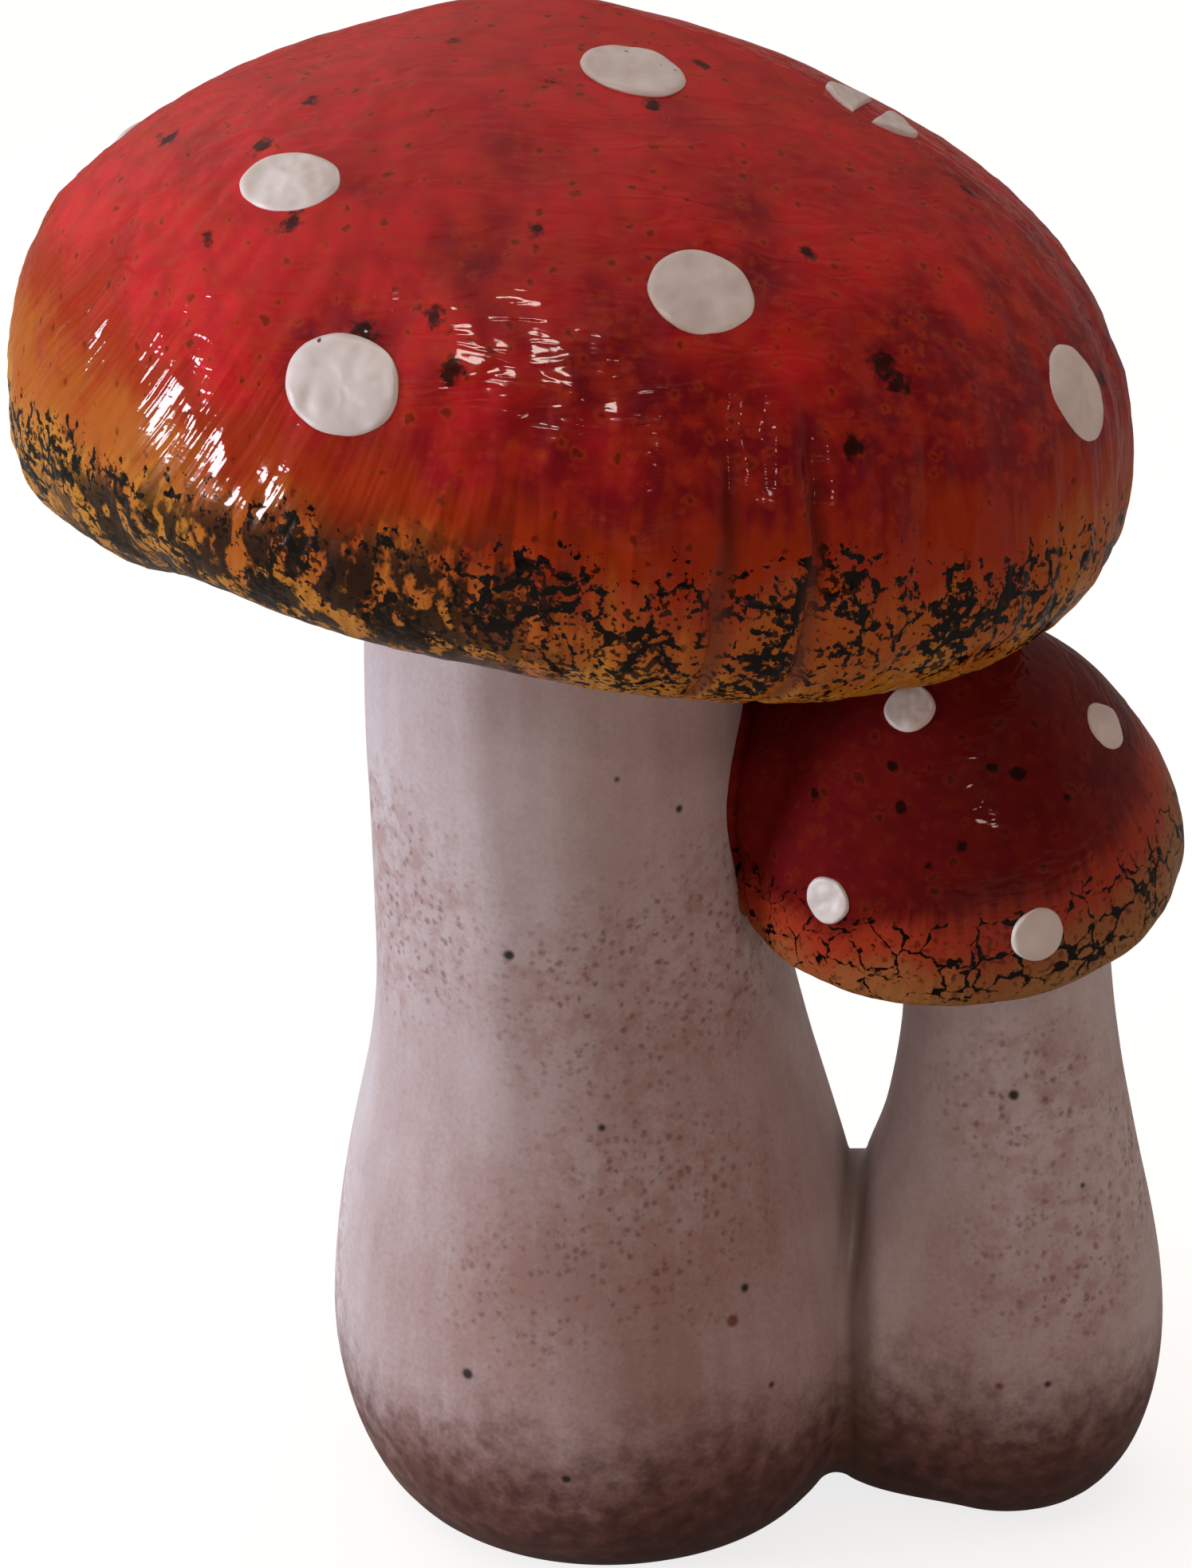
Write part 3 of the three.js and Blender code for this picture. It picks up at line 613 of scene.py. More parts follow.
def brushed_red_glaze(
        name, place, rim_mm, tide_mm, bow, reds, paints, blotches, creases, smear_azimuth, net, clear):
    """Underglaze colours brushed from ochre to red, sponged with black, beneath a thick clear glossy glaze.

    tide_mm holds the heights in the cap's own frame where the brushing turns from red to orange, from orange
    to ochre, and to pale ochre under the rim. bow is how they rise at both sides and how they slope, as
    shares of the rim's radius. reds are the dark red of the crown and, over it, a lighter red that follows
    the mottle and is also painted light, lighter towards the crown and the left, then the warm wash, the
    veins and the rings round the pits. paints are the orange and the two ochres below. blotches are single
    drops of black by azimuth, elevation and width as a share of the radius. creases are the azimuths of the
    cap's creases, whose grooves are darkened with painted shade. The sponge was dragged at smear_azimuth,
    where the net is thinner. net is how far the black reaches from the edges of its cells, how much of it
    there is, how broken it is, and how many millimetres higher than the brushing it goes. clear is the share
    of clear glaze on the left and on the right. The eye sees mottled wet reds, soft upward streaks of orange
    and a broken black net.
    """
    stroke_mm, ridge_mm, wrinkle_mm, vein_mm, cell_mm, pit_mm = 1.8, 2.3, 5.2, 11.0, 6.0, 2.9
    bend_mm, shake_mm = 6.0, 2.6
    red_above, orange_at, ochre_at, pale_below = tide_mm
    net_reach, net_cover, net_break, net_rise = net
    net_from, net_full = red_above + net_rise, (orange_at + ochre_at) / 2 + net_rise
    material, tree = blank_material(name)
    coordinates = add(tree, "ShaderNodeTexCoord")
    middle, turn, _ = place.decompose()
    at = add(tree, "ShaderNodeMapping", {
        "Vector": coordinates.outputs["Object"], "Location": middle, "Rotation": turn.to_euler(),
        "Scale": (MM,) * 3}, vector_type="TEXTURE")
    split = add(tree, "ShaderNodeSeparateXYZ", {"Vector": at})
    height = split.outputs["Z"]
    around = leaning_direction(tree, at, rim_mm)

    spread = add(tree, "ShaderNodeVectorMath", {0: around, "Scale": rim_mm / stroke_mm}, operation="SCALE")
    length = add(tree, "ShaderNodeVectorMath", {0: at, 1: (0.0, 0.0, 0.07)}, operation="MULTIPLY")
    stroke_at = add(tree, "ShaderNodeVectorMath", {0: spread, 1: length}, operation="ADD")
    ridge_at = add(tree, "ShaderNodeVectorMath", {
        0: stroke_at, "Scale": stroke_mm / ridge_mm}, operation="SCALE")
    wipe_at = add(tree, "ShaderNodeVectorMath", {0: stroke_at, 1: at}, operation="ADD")
    pattern = {}
    for label, spot, size, detail, roughness in (
            ("strokes", stroke_at, 1.0, 3.0, 0.5), ("ridges", ridge_at, 1.0, 1.0, 0.5),
            ("wipe", wipe_at, 6.25, 4.0, 0.5), ("mottle", at, 19.0, 4.0, 0.5), ("wash", at, 6.0, 5.0, 0.6),
            ("sponge", at, 1.8, 3.0, 0.6), ("cover", at, 13.0, 2.0, 0.5), ("wobble", at, 4.5, 2.0, 0.5),
            ("specks", at, 1.1, 2.0, 0.5)):
        pattern[label] = add(tree, "ShaderNodeTexNoise", {
            "Vector": spot, "Scale": 1 / size, "Detail": detail, "Roughness": roughness})
    bent = add(tree, "ShaderNodeVectorMath", {
        0: pattern["wobble"].outputs["Color"], 1: (bend_mm,) * 3, 2: at}, operation="MULTIPLY_ADD")
    shaken = add(tree, "ShaderNodeVectorMath", {
        0: pattern["sponge"].outputs["Color"], 1: (shake_mm,) * 3, 2: at}, operation="MULTIPLY_ADD")
    veins, cells = (
        add(tree, "ShaderNodeTexVoronoi", {"Vector": bent, "Scale": 1 / size}, feature="DISTANCE_TO_EDGE")
        for size in (vein_mm, cell_mm))
    pits = add(tree, "ShaderNodeTexVoronoi", {"Vector": shaken, "Scale": 1 / pit_mm})
    chance = add(tree, "ShaderNodeSeparateXYZ", {"Vector": pits.outputs["Color"]})

    side = add(tree, "ShaderNodeMath", {0: split.outputs["X"], 1: rim_mm}, operation="DIVIDE")
    bowed = add(tree, "ShaderNodeMath", {
        0: side, 1: -bow[0] * rim_mm, 2: -bow[1] * rim_mm}, operation="MULTIPLY_ADD")
    raised = add(tree, "ShaderNodeMath", {0: side, 1: bowed, 2: height}, operation="MULTIPLY_ADD")
    halfway = add(tree, "ShaderNodeMix", {"Factor": 0.25, "A": height, "B": raised}, data_type="FLOAT")
    # The lighter red follows the mottle and is also painted light: it grows towards the crown and the left,
    # so the front and right read darker.
    mottle_and_painted_top_light = add(tree, "ShaderNodeMath", {
        0: height, 1: 0.5 / rim_mm, 2: pattern["mottle"]}, operation="MULTIPLY_ADD")
    mottle_and_painted_light = add(tree, "ShaderNodeMath", {0: side, 1: -0.15, 2: mottle_and_painted_top_light}, operation="MULTIPLY_ADD")
    facing = add(tree, "ShaderNodeVectorMath", {
        0: around, 1: direction(smear_azimuth)}, operation="DOT_PRODUCT")
    smear_off = add(tree, "ShaderNodeMath", {0: height, 1: ochre_at}, operation="SUBTRACT")
    smear_far = add(tree, "ShaderNodeMath", {0: smear_off}, operation="ABSOLUTE")

    share = {}
    for label, value, start, end, low, high, blend in (
            ("shoulder", raised, 0.22 * rim_mm, 0.04 * rim_mm, 0.0, 1.0, SOFT),
            ("brushed", pattern["strokes"], 0.0, 1.0, -0.085 * rim_mm, 0.085 * rim_mm, EVEN),
            ("clouded", pattern["mottle"], 0.0, 1.0, -0.2 * rim_mm, 0.2 * rim_mm, EVEN),
            ("red_mottle_and_painted_light", mottle_and_painted_light, 0.5, 0.86, 0.0, 1.0, SOFT),
            ("warm", pattern["wash"], 0.42, 0.66, 0.0, 0.64, SOFT),
            ("vein", veins, 0.24, 0.0, 0.0, 0.2, SOFT),
            ("pit_size", chance.outputs["X"], 0.2, 1.0, 0.0, 0.29, EVEN),
            ("smear_side", facing.outputs["Value"], 0.74, 0.93, 0.0, 1.0, SOFT),
            ("smear_band", smear_far, 0.23 * rim_mm, 0.08 * rim_mm, 0.0, 1.0, SOFT),
            ("wiped", pattern["wipe"], 0.43, 0.52, 0.0, 0.95, SOFT),
            ("inside", cells, 0.0, net_reach, 0.0, -0.42, EVEN),
            ("zone", halfway, net_from, net_full, -0.34, net_cover, SOFT),
            ("under", height, ochre_at, pale_below, 0.0, -0.12, EVEN),
            ("dabbed", pattern["cover"], 0.25, 0.75, -0.14 * net_break, 0.14 * net_break, EVEN),
            ("ragged", pattern["sponge"], 0.0, 1.0, -0.035, 0.035, EVEN),
            ("gloss", pattern["mottle"], 0.0, 1.0, 0.35, 0.55, EVEN),
            ("coat", side, -0.3, 0.15, *clear, SOFT)):
        share[label] = add(tree, "ShaderNodeMapRange", {
            "Value": value, "From Min": start, "From Max": end, "To Min": low, "To Max": high},
            interpolation_type=blend)

    uneven = add(tree, "ShaderNodeMath", {0: share["brushed"], 1: share["clouded"]}, operation="ADD")
    tide = add(tree, "ShaderNodeMath", {0: raised, 1: uneven}, operation="ADD")
    pit_edge = add(tree, "ShaderNodeMath", {
        0: share["pit_size"], 1: pits.outputs["Distance"]}, operation="SUBTRACT")
    smear_here = add(tree, "ShaderNodeMath", {
        0: share["smear_side"], 1: share["smear_band"]}, operation="MULTIPLY")
    share["cleared"] = add(tree, "ShaderNodeMapRange", {"Value": smear_here, "To Max": -0.08})
    ink = add(tree, "ShaderNodeMath", {
        0: pattern["sponge"], 1: net_break, 2: 0.5 - 0.5 * net_break}, operation="MULTIPLY_ADD")
    for label in ("inside", "zone", "under", "dabbed", "cleared"):
        ink = add(tree, "ShaderNodeMath", {0: ink, 1: share[label]}, operation="ADD")
    flecks = pattern["specks"]
    for label in ("zone", "dabbed"):
        flecks = add(tree, "ShaderNodeMath", {0: flecks, 1: share[label]}, operation="ADD")
    outward = add(tree, "ShaderNodeVectorMath", {0: at}, operation="NORMALIZE")
    drop_edge = edge_of_marks(tree, outward, [
        (direction(azimuth, elevation), width) for azimuth, elevation, width in blotches])
    torn_edge = add(tree, "ShaderNodeMath", {0: drop_edge, 1: share["ragged"]}, operation="ADD")
    for label, value, start, end, high in (
            ("halo", pit_edge, -0.36, 0.04, 0.5), ("pit", pit_edge, -0.06, 0.14, 0.55),
            ("orange", tide, red_above, orange_at, 1.0), ("ochre", tide, orange_at, ochre_at, 1.0),
            ("pale", tide, ochre_at, pale_below, 1.0), ("net", ink, 0.53, 0.59, 1.0),
            ("flecked", flecks, 0.71, 0.78, 0.9 * net_break), ("drops", torn_edge, 0.006, -0.012, 0.92)):
        share[label] = add(tree, "ShaderNodeMapRange", {
            "Value": value, "From Min": start, "From Max": end, "To Max": high}, interpolation_type=SOFT)
    smear = add(tree, "ShaderNodeMath", {0: smear_here, 1: share["wiped"]}, operation="MULTIPLY")
    black = add(tree, "ShaderNodeMath", {0: share["net"], 1: share["flecked"]}, operation="MAXIMUM")
    dots = add(tree, "ShaderNodeMath", {0: share["pit"], 1: share["drops"]}, operation="MAXIMUM")

    colour, *over = (linear(code) for code in (*reds, *paints))
    painted = ("red_mottle_and_painted_light", "warm", "vein", "halo", "orange", "ochre", "pale")
    layers = [(share[label], paint) for label, paint in zip(painted, over)]
    layers += [(smear, linear("1A100A")), (black, linear("120D0A"))]
    # Painted shade in the creases: their grooves are darkened, dark red high up and pinkish brown lower
    # down.
    if creases:
        groove = crease_closeness(tree, at, rim_mm, creases, CREASE_WIDTH_MM * CREASE_SHADE_SPREAD)
        lower = add(tree, "ShaderNodeMapRange", {
            "Value": height, "From Min": 26.0, "From Max": 8.0, "To Max": 0.7}, interpolation_type=SOFT)
        crease_shade = add(tree, "ShaderNodeMath", {0: groove, 1: lower}, operation="MULTIPLY")
        paler_downward = add(tree, "ShaderNodeMapRange", {"Value": height, "From Min": 6.0, "From Max": -18.0})
        crease_shade_colour = add(tree, "ShaderNodeMix", {
            "Factor": paler_downward, "A": linear("4E1410"), "B": linear("8A5038")}, data_type="RGBA")
        layers.append((crease_shade, crease_shade_colour))
    layers.append((dots, linear("1E0E0B")))
    for cover, paint in layers:
        colour = add(tree, "ShaderNodeMix", {"Factor": cover, "A": colour, "B": paint}, data_type="RGBA")

    wrinkle_at = add(tree, "ShaderNodeMapping", {
        "Vector": at, "Rotation": (0.4, 0.3, 0.3),
        "Scale": (0.45 / wrinkle_mm, 0.8 / wrinkle_mm, 1.7 / wrinkle_mm)})
    wrinkles = add(tree, "ShaderNodeTexNoise", {
        "Vector": wrinkle_at, "Scale": 1.0, "Detail": 1.0, "Distortion": 1.6})
    wrinkled = add(tree, "ShaderNodeMapRange", {"Value": share["shoulder"], "To Min": 0.75, "To Max": 0.2})
    creased = add(tree, "ShaderNodeMath", {0: wrinkles, 1: wrinkled}, operation="MULTIPLY")
    ridged = add(tree, "ShaderNodeMath", {0: pattern["ridges"], 1: share["shoulder"]}, operation="MULTIPLY")
    brush_lines = add(tree, "ShaderNodeMath", {0: ridged, 1: 0.9, 2: creased}, operation="MULTIPLY_ADD")
    relief = add(tree, "ShaderNodeBump", {"Height": brush_lines, "Strength": 0.6, "Distance": 0.8 * MM})
    shader = add(tree, "ShaderNodeBsdfPrincipled", {
        "Base Color": colour, "Roughness": share["gloss"], "Normal": relief, "Specular IOR Level": 0.0,
        "Coat Normal": relief, "Coat Weight": share["coat"], "Coat Roughness": 0.08})
    add(tree, "ShaderNodeOutputMaterial", {"Surface": shader})
    return material


LARGE_BLOTCHES = (
    (-100, 62, 0.035), (-142, 47, 0.035), (-140, 39, 0.045), (-127, 31, 0.045), (-106, 24, 0.04),
    (-114, 21, 0.045), (-55, 20, 0.055), (-61, 12, 0.045), (-59, 34, 0.04), (-18, 38, 0.035),
    (-136, 66, 0.03), (-74, 60, 0.05), (-45, 70, 0.04), (-96, 35, 0.03), (-137, 27, 0.03),
    (-103, 18, 0.045), (-160, 36, 0.04), (-54, 18, 0.04), (30, 45, 0.05), (75, 30, 0.045),
    (110, 55, 0.05), (150, 35, 0.05), (-20, 15, 0.04))
large_place = cap_place(LARGE_CAP_SEAT, LARGE_CAP_PITCH, LARGE_CAP_ROLL)
large_red = brushed_red_glaze(
    "brushed_red_glaze_large", large_place, LARGE_CAP_RADIUS_MM, tide_mm=(13.0, 1.0, -12.0, -24.0),
    bow=(0.21, -0.1), reds=("7C141E", "CC2428", "BC321C", "680F1C", "B83E1C"),
    paints=("A23212", "B25E1E", "C2822E"), blotches=LARGE_BLOTCHES, creases=LARGE_CAP_CREASES,
    smear_azimuth=-125, net=(0.34, 0.165, 1.0, 0.0), clear=(0.36, 0.36))
large_cap = glazed_cap(
    "large_cap", "large_cap_glazed", large_place, LARGE_CAP_HALVINGS, large_red,
    gathered_clay_tree("gathered_large_cap", LARGE_CAP_CREASES), {
        "Rim Radius": LARGE_CAP_RADIUS_MM, "Crease Width": CREASE_WIDTH_MM, "Crease Depth": CREASE_DEPTH_MM})
dress(large_cap, large_red, "red_glaze", "large_cap")

# Small cap. The same kind of casting, rounder and less than half as wide, set on its stem at a slant.
# Its side is flat where it was pressed against the large stem, and its rim has only the finest pleats.
SMALL_CAP_SEAT = Vector((58.73, -11.31, 128.8)) * MM
SMALL_CAP_PITCH, SMALL_CAP_ROLL = 14.0, -2.0
SMALL_CAP_RADIUS_MM = 39.5
SMALL_CAP_HALVINGS = 3
CAP_PRESS_LOW, CAP_PRESS_HIGH = (126 * MM, 150 * MM), (172 * MM, 184 * MM)
CAP_PRESS_NEAR, CAP_PRESS_FAR = 1.5 * MM, 12.5 * MM
SMALL_BLOTCHES = (
    (-65, 54, 0.075), (-75, 57, 0.05), (-118, 57, 0.05), (-144, 43, 0.05), (-111, 48, 0.05),
    (-90, 40, 0.045), (-51, 44, 0.035), (-100, 35, 0.04), (40, 40, 0.07))
small_place = cap_place(SMALL_CAP_SEAT, SMALL_CAP_PITCH, SMALL_CAP_ROLL)
small_red = brushed_red_glaze(
    "brushed_red_glaze_small", small_place, SMALL_CAP_RADIUS_MM, tide_mm=(17.0, 10.0, 3.0, -4.0),
    bow=(0.03, 0.2), reds=("501012", "6A1518", "721D14", "460C12", "7C2A18"),
    paints=("A03822", "9A5C34", "A07040"), blotches=SMALL_BLOTCHES, creases=(), smear_azimuth=30,
    net=(0.2, 0.135, 0.55, 5.0), clear=(0.0, 0.3))
small_cap = glazed_cap(
    "small_cap", "small_cap_glazed", small_place, SMALL_CAP_HALVINGS, small_red,
    gathered_clay_tree("gathered_small_cap", ()), {
        "Rim Radius": SMALL_CAP_RADIUS_MM, "Pleat Depth": 0.06, "Fold Depth": 0.12, "Lump Depth": 0.05,
        "Dent Depth": 0.4, "Dent Size": 24.0})
press_against(
    small_cap, large_stem, beside, CAP_PRESS_LOW, CAP_PRESS_HIGH, CAP_PRESS_NEAR, CAP_PRESS_FAR)
dress(small_cap, small_red, "red_glaze", "small_cap")

# Slip rings under the caps, and the dab of slip beside the small cap. Each lutes a cap to a stem.
# They were wiped hollow with a fingertip, so they read as soft inside corners. The rings are glazed with the
# stems, and the dab was painted over with the small cap's red.
LARGE_NECK_BALL, SMALL_NECK_BALL, SIDE_BALL, SIDE_TOP_BALL = 5.0 * MM, 3.5 * MM, 0.8 * MM, 1.2 * MM


def neck_fillet(name, node, stem, cap, place, ball):
    """Slip ring between a stem's neck and the underside of its cap."""
    low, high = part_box(node)
    right = (place.to_3x3() @ Vector((1, 0, 0))).normalized()
    back = (place.to_3x3() @ Vector((0, 1, 0))).normalized()
    reach = (high.x - low.x) / 2
    return luted_fillet(name, cap, stem, (low + high) / 2, right, back, (ball, ball, ball), reach)


large_ring = neck_fillet(
    "large_cap_slip_ring", "large_cap_slip", large_stem, large_cap, large_place, LARGE_NECK_BALL)
dress(large_ring, stem_glaze, "slip", "large_cap_slip")
small_ring = neck_fillet(
    "small_cap_slip_ring", "small_cap_slip", small_stem, small_cap, small_place, SMALL_NECK_BALL)
dress(small_ring, stem_glaze, "slip", "small_cap_slip")

side_low, side_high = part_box("cap_side_slip")
side_middle = (side_low + side_high) / 2
side_way = side_middle - LARGE_STEM_AXIS
side_way.z = 0.0
side_way.normalize()
side_dab = luted_fillet(
    "cap_side_slip_dab", large_stem, small_cap, side_middle, UP.cross(side_way), UP,
    (SIDE_BALL, SIDE_TOP_BALL, SIDE_BALL), (side_high.y - side_low.y) / 2)
dress(side_dab, small_red, "slip", "cap_side_slip")

# White dabs. Thick off-white slip dabbed on the finished caps with a fingertip, so each is a low rounded pad
# with a dented top and an outline that is not quite round. One large dab has a red stripe wiped across it.
# Each lies on the cap with its pleats eased away, and is thick enough to cover the pleats under it.
DAB_RISE, DAB_BURY = 0.55 * MM, 1.3 * MM
DAB_LIFT, DAB_COVER = 0.25 * MM, 0.15 * MM
DAB_RAY_START, DAB_RAY_LENGTH = 12 * MM, 30 * MM
DAB_EASING = 30
DAB_SEGMENTS, DAB_RINGS = 56, 28
LEAST_CHORD = 0.001
DAB_STRETCH = {
    "large_spot_1": (0.98, 0.9), "large_spot_2": (1.12, 0.82), "large_spot_3": (1.18, 0.92),
    "large_spot_4": (0.97, 0.81), "large_spot_5": (0.95, 0.9), "large_spot_13": (0.6, 0.6),
    "small_spot_4": (1.05, 1.1)}
DAB_SHIFT = {"large_spot_13": -9 * MM}


def dab_tree():
    """Geometry Nodes tree that lays a closed pad on a cap at each point, facing the way the point says.

    A point whose half is 1 or -1 gets one side of a pad that is cut along a stripe of twice Band.
    """
    tree, given = blank_tree("thick_dabs", {
        "Rise": 1.0 * MM, "Bury": 0.3 * MM, "Wander": 0.07, "Dent Size": 6.0 * MM, "Band": 0.2}, ("Cap",))
    ball = add(tree, "GeometryNodeMeshUVSphere", {
        "Segments": DAB_SEGMENTS, "Rings": DAB_RINGS, "Radius": 1.0})
    marked, seated = (
        add(tree, "GeometryNodeStoreNamedAttribute", {
            "Geometry": geometry, "Name": label, "Value": add(tree, "GeometryNodeInputPosition")},
            data_type="FLOAT_VECTOR")
        for geometry, label in ((ball.outputs["Mesh"], "pad"), (given["Geometry"], "seat")))
    placed = add(tree, "GeometryNodeInstanceOnPoints", {"Points": seated, "Instance": marked})
    pads = add(tree, "GeometryNodeRealizeInstances", {"Geometry": placed})
    pad, seat, facing, across, along = (
        add(tree, "GeometryNodeInputNamedAttribute", {"Name": label}, data_type="FLOAT_VECTOR")
        for label in ("pad", "seat", "facing", "across", "along"))
    half = add(tree, "GeometryNodeInputNamedAttribute", {"Name": "half"}, data_type="FLOAT")
    split = add(tree, "ShaderNodeSeparateXYZ", {"Vector": pad})
    pad_x, pad_y, pad_z = (split.outputs[way] for way in "XYZ")
    flat_pad = add(tree, "ShaderNodeVectorMath", {0: pad, 1: LEVEL}, operation="MULTIPLY")

    squared = add(tree, "ShaderNodeMath", {0: pad_x, 1: pad_x}, operation="MULTIPLY")
    remainder = add(tree, "ShaderNodeMath", {0: 1.0, 1: squared}, operation="SUBTRACT", use_clamp=True)
    chord = add(tree, "ShaderNodeMath", {0: remainder}, operation="SQRT")
    wide = add(tree, "ShaderNodeMath", {0: chord, 1: given["Band"]}, operation="MAXIMUM")
    fill = add(tree, "ShaderNodeMath", {0: wide, 1: given["Band"]}, operation="SUBTRACT")
    safe = add(tree, "ShaderNodeMath", {0: chord, 1: LEAST_CHORD}, operation="MAXIMUM")
    part = add(tree, "ShaderNodeMath", {0: pad_y, 1: safe}, operation="DIVIDE")
    signed = add(tree, "ShaderNodeMath", {0: part, 1: half}, operation="ADD")
    scaled = add(tree, "ShaderNodeMath", {0: signed, 1: fill}, operation="MULTIPLY")
    halved = add(tree, "ShaderNodeMath", {0: scaled, 1: 0.5}, operation="MULTIPLY")
    gap = add(tree, "ShaderNodeMath", {0: half, 1: given["Band"], 2: halved}, operation="MULTIPLY_ADD")
    is_half = add(tree, "ShaderNodeMath", {0: half}, operation="ABSOLUTE")
    cut = add(tree, "ShaderNodeMix", {"Factor": is_half, "A": pad_y, "B": gap}, data_type="FLOAT")

    seat_far = add(tree, "ShaderNodeVectorMath", {0: seat, "Scale": 1 / MM}, operation="SCALE")
    wander_at = add(tree, "ShaderNodeVectorMath", {0: flat_pad, 1: seat_far}, operation="ADD")
    wander = add(tree, "ShaderNodeTexNoise", {"Vector": wander_at, "Scale": 1.1, "Detail": 1.0})
    wander_wave = add(tree, "ShaderNodeMapRange", {"Value": wander, "To Min": -1.0, "To Max": 1.0})
    wandered = add(tree, "ShaderNodeMath", {
        0: wander_wave, 1: given["Wander"], 2: 1.0}, operation="MULTIPLY_ADD")
    east = add(tree, "ShaderNodeMath", {0: pad_x, 1: wandered}, operation="MULTIPLY")
    north = add(tree, "ShaderNodeMath", {0: cut, 1: wandered}, operation="MULTIPLY")
    east_by, north_by, lifted, inward = (
        add(tree, "ShaderNodeVectorMath", {0: way, "Scale": scale}, operation="SCALE")
        for way, scale in ((across, east), (along, north), (facing, DAB_RAY_START), (facing, -1.0)))
    offset = add(tree, "ShaderNodeVectorMath", {0: east_by, 1: north_by}, operation="ADD")
    raised = add(tree, "ShaderNodeVectorMath", {0: offset, 1: lifted}, operation="ADD")
    source = add(tree, "ShaderNodeVectorMath", {0: raised, 1: seat}, operation="ADD")
    cap = add(tree, "GeometryNodeObjectInfo", {"Object": given["Cap"]}, transform_space="ORIGINAL")
    cap_spot = add(tree, "GeometryNodeInputPosition")
    eased = add(tree, "GeometryNodeBlurAttribute", {
        "Value": cap_spot, "Iterations": DAB_EASING}, data_type="FLOAT_VECTOR")
    eased_cap = add(tree, "GeometryNodeSetPosition", {
        "Geometry": cap.outputs["Geometry"], "Position": eased})
    hit, pleat = (
        add(tree, "GeometryNodeRaycast", {
            "Target Geometry": target, "Source Position": source, "Ray Direction": inward,
            "Ray Length": DAB_RAY_LENGTH}).outputs["Hit Position"]
        for target in (eased_cap, cap.outputs["Geometry"]))

    dent_scale = add(tree, "ShaderNodeMath", {0: 1.0, 1: given["Dent Size"]}, operation="DIVIDE")
    dent = add(tree, "ShaderNodeTexNoise", {"Vector": hit, "Scale": dent_scale, "Detail": 2.0})
    dented = add(tree, "ShaderNodeMapRange", {
        "Value": dent, "From Min": 0.3, "From Max": 0.7, "To Min": 0.15, "To Max": 1.5})
    edge = add(tree, "ShaderNodeMath", {0: pad_z}, operation="ABSOLUTE")
    shoulder = add(tree, "ShaderNodeMapRange", {"Value": edge, "From Max": 0.45}, interpolation_type=SOFT)
    top = add(tree, "ShaderNodeMath", {0: given["Rise"], 1: dented}, operation="MULTIPLY")
    base = add(tree, "ShaderNodeMath", {0: given["Bury"], 1: -1.0}, operation="MULTIPLY")
    is_top = add(tree, "ShaderNodeMath", {0: pad_z, 1: 0.0}, operation="GREATER_THAN")
    thickness = add(tree, "ShaderNodeMix", {"Factor": is_top, "A": base, "B": top}, data_type="FLOAT")
    swell = add(tree, "ShaderNodeMath", {0: shoulder, 1: thickness, 2: DAB_LIFT}, operation="MULTIPLY_ADD")
    proud = add(tree, "ShaderNodeVectorMath", {0: pleat, 1: hit}, operation="SUBTRACT")
    proud_by = add(tree, "ShaderNodeVectorMath", {0: proud, 1: facing}, operation="DOT_PRODUCT")
    covering = add(tree, "ShaderNodeMath", {0: proud_by, 1: DAB_COVER}, operation="ADD")
    covered = add(tree, "ShaderNodeMath", {0: swell, 1: covering}, operation="MAXIMUM")
    level = add(tree, "ShaderNodeMix", {"Factor": is_top, "A": swell, "B": covered}, data_type="FLOAT")
    swollen = add(tree, "ShaderNodeVectorMath", {0: facing, "Scale": level}, operation="SCALE")
    final = add(tree, "ShaderNodeVectorMath", {0: hit, 1: swollen}, operation="ADD")
    laid = add(tree, "GeometryNodeSetPosition", {"Geometry": pads, "Position": final})
    smooth = add(tree, "GeometryNodeSetShadeSmooth", {"Geometry": laid})
    real = add(tree, "GeometryNodeRealizeInstances", {"Geometry": smooth})
    painted = add(tree, "GeometryNodeSetMaterial", {"Geometry": real, "Material": given["Material"]})
    add(tree, "NodeGroupOutput", {"Geometry": painted})
    return tree


def thick_white_slip(name):
    """Opaque off-white slip under thin glaze: nearly matt, a little grey in places, with odd dark pits."""
    cloud_mm, pit_mm, grain_mm = 7.0, 6.5, 1.2
    material, tree = blank_material(name)
    coordinates = add(tree, "ShaderNodeTexCoord")
    at = add(tree, "ShaderNodeMapping", {"Vector": coordinates.outputs["Object"], "Scale": (1 / MM,) * 3})
    cloud = add(tree, "ShaderNodeTexNoise", {"Vector": at, "Scale": 1 / cloud_mm, "Detail": 4.0})
    grain = add(tree, "ShaderNodeTexNoise", {"Vector": at, "Scale": 1 / grain_mm, "Detail": 2.0})
    shade = add(tree, "ShaderNodeMapRange", {"Value": cloud, "From Min": 0.35, "From Max": 0.65})
    white = add(tree, "ShaderNodeMix", {
        "Factor": shade, "A": linear("D6CCC8"), "B": linear("E6DEDB")}, data_type="RGBA")
    pits = add(tree, "ShaderNodeTexVoronoi", {"Vector": at, "Scale": 1 / pit_mm})
    pit = add(tree, "ShaderNodeMapRange", {
        "Value": pits.outputs["Distance"], "From Min": 0.07, "From Max": 0.05}, interpolation_type=SOFT)
    pitted = add(tree, "ShaderNodeMix", {"Factor": pit, "A": white, "B": linear("5A3A2E")}, data_type="RGBA")
    relief = add(tree, "ShaderNodeBump", {"Height": grain, "Strength": 0.3, "Distance": 0.1 * MM})
    gloss = add(tree, "ShaderNodeMapRange", {"Value": cloud, "To Min": 0.34, "To Max": 0.5})
    shader = add(tree, "ShaderNodeBsdfPrincipled", {
        "Base Color": pitted, "Roughness": gloss, "Normal": relief})
    add(tree, "ShaderNodeOutputMaterial", {"Surface": shader})
    return material


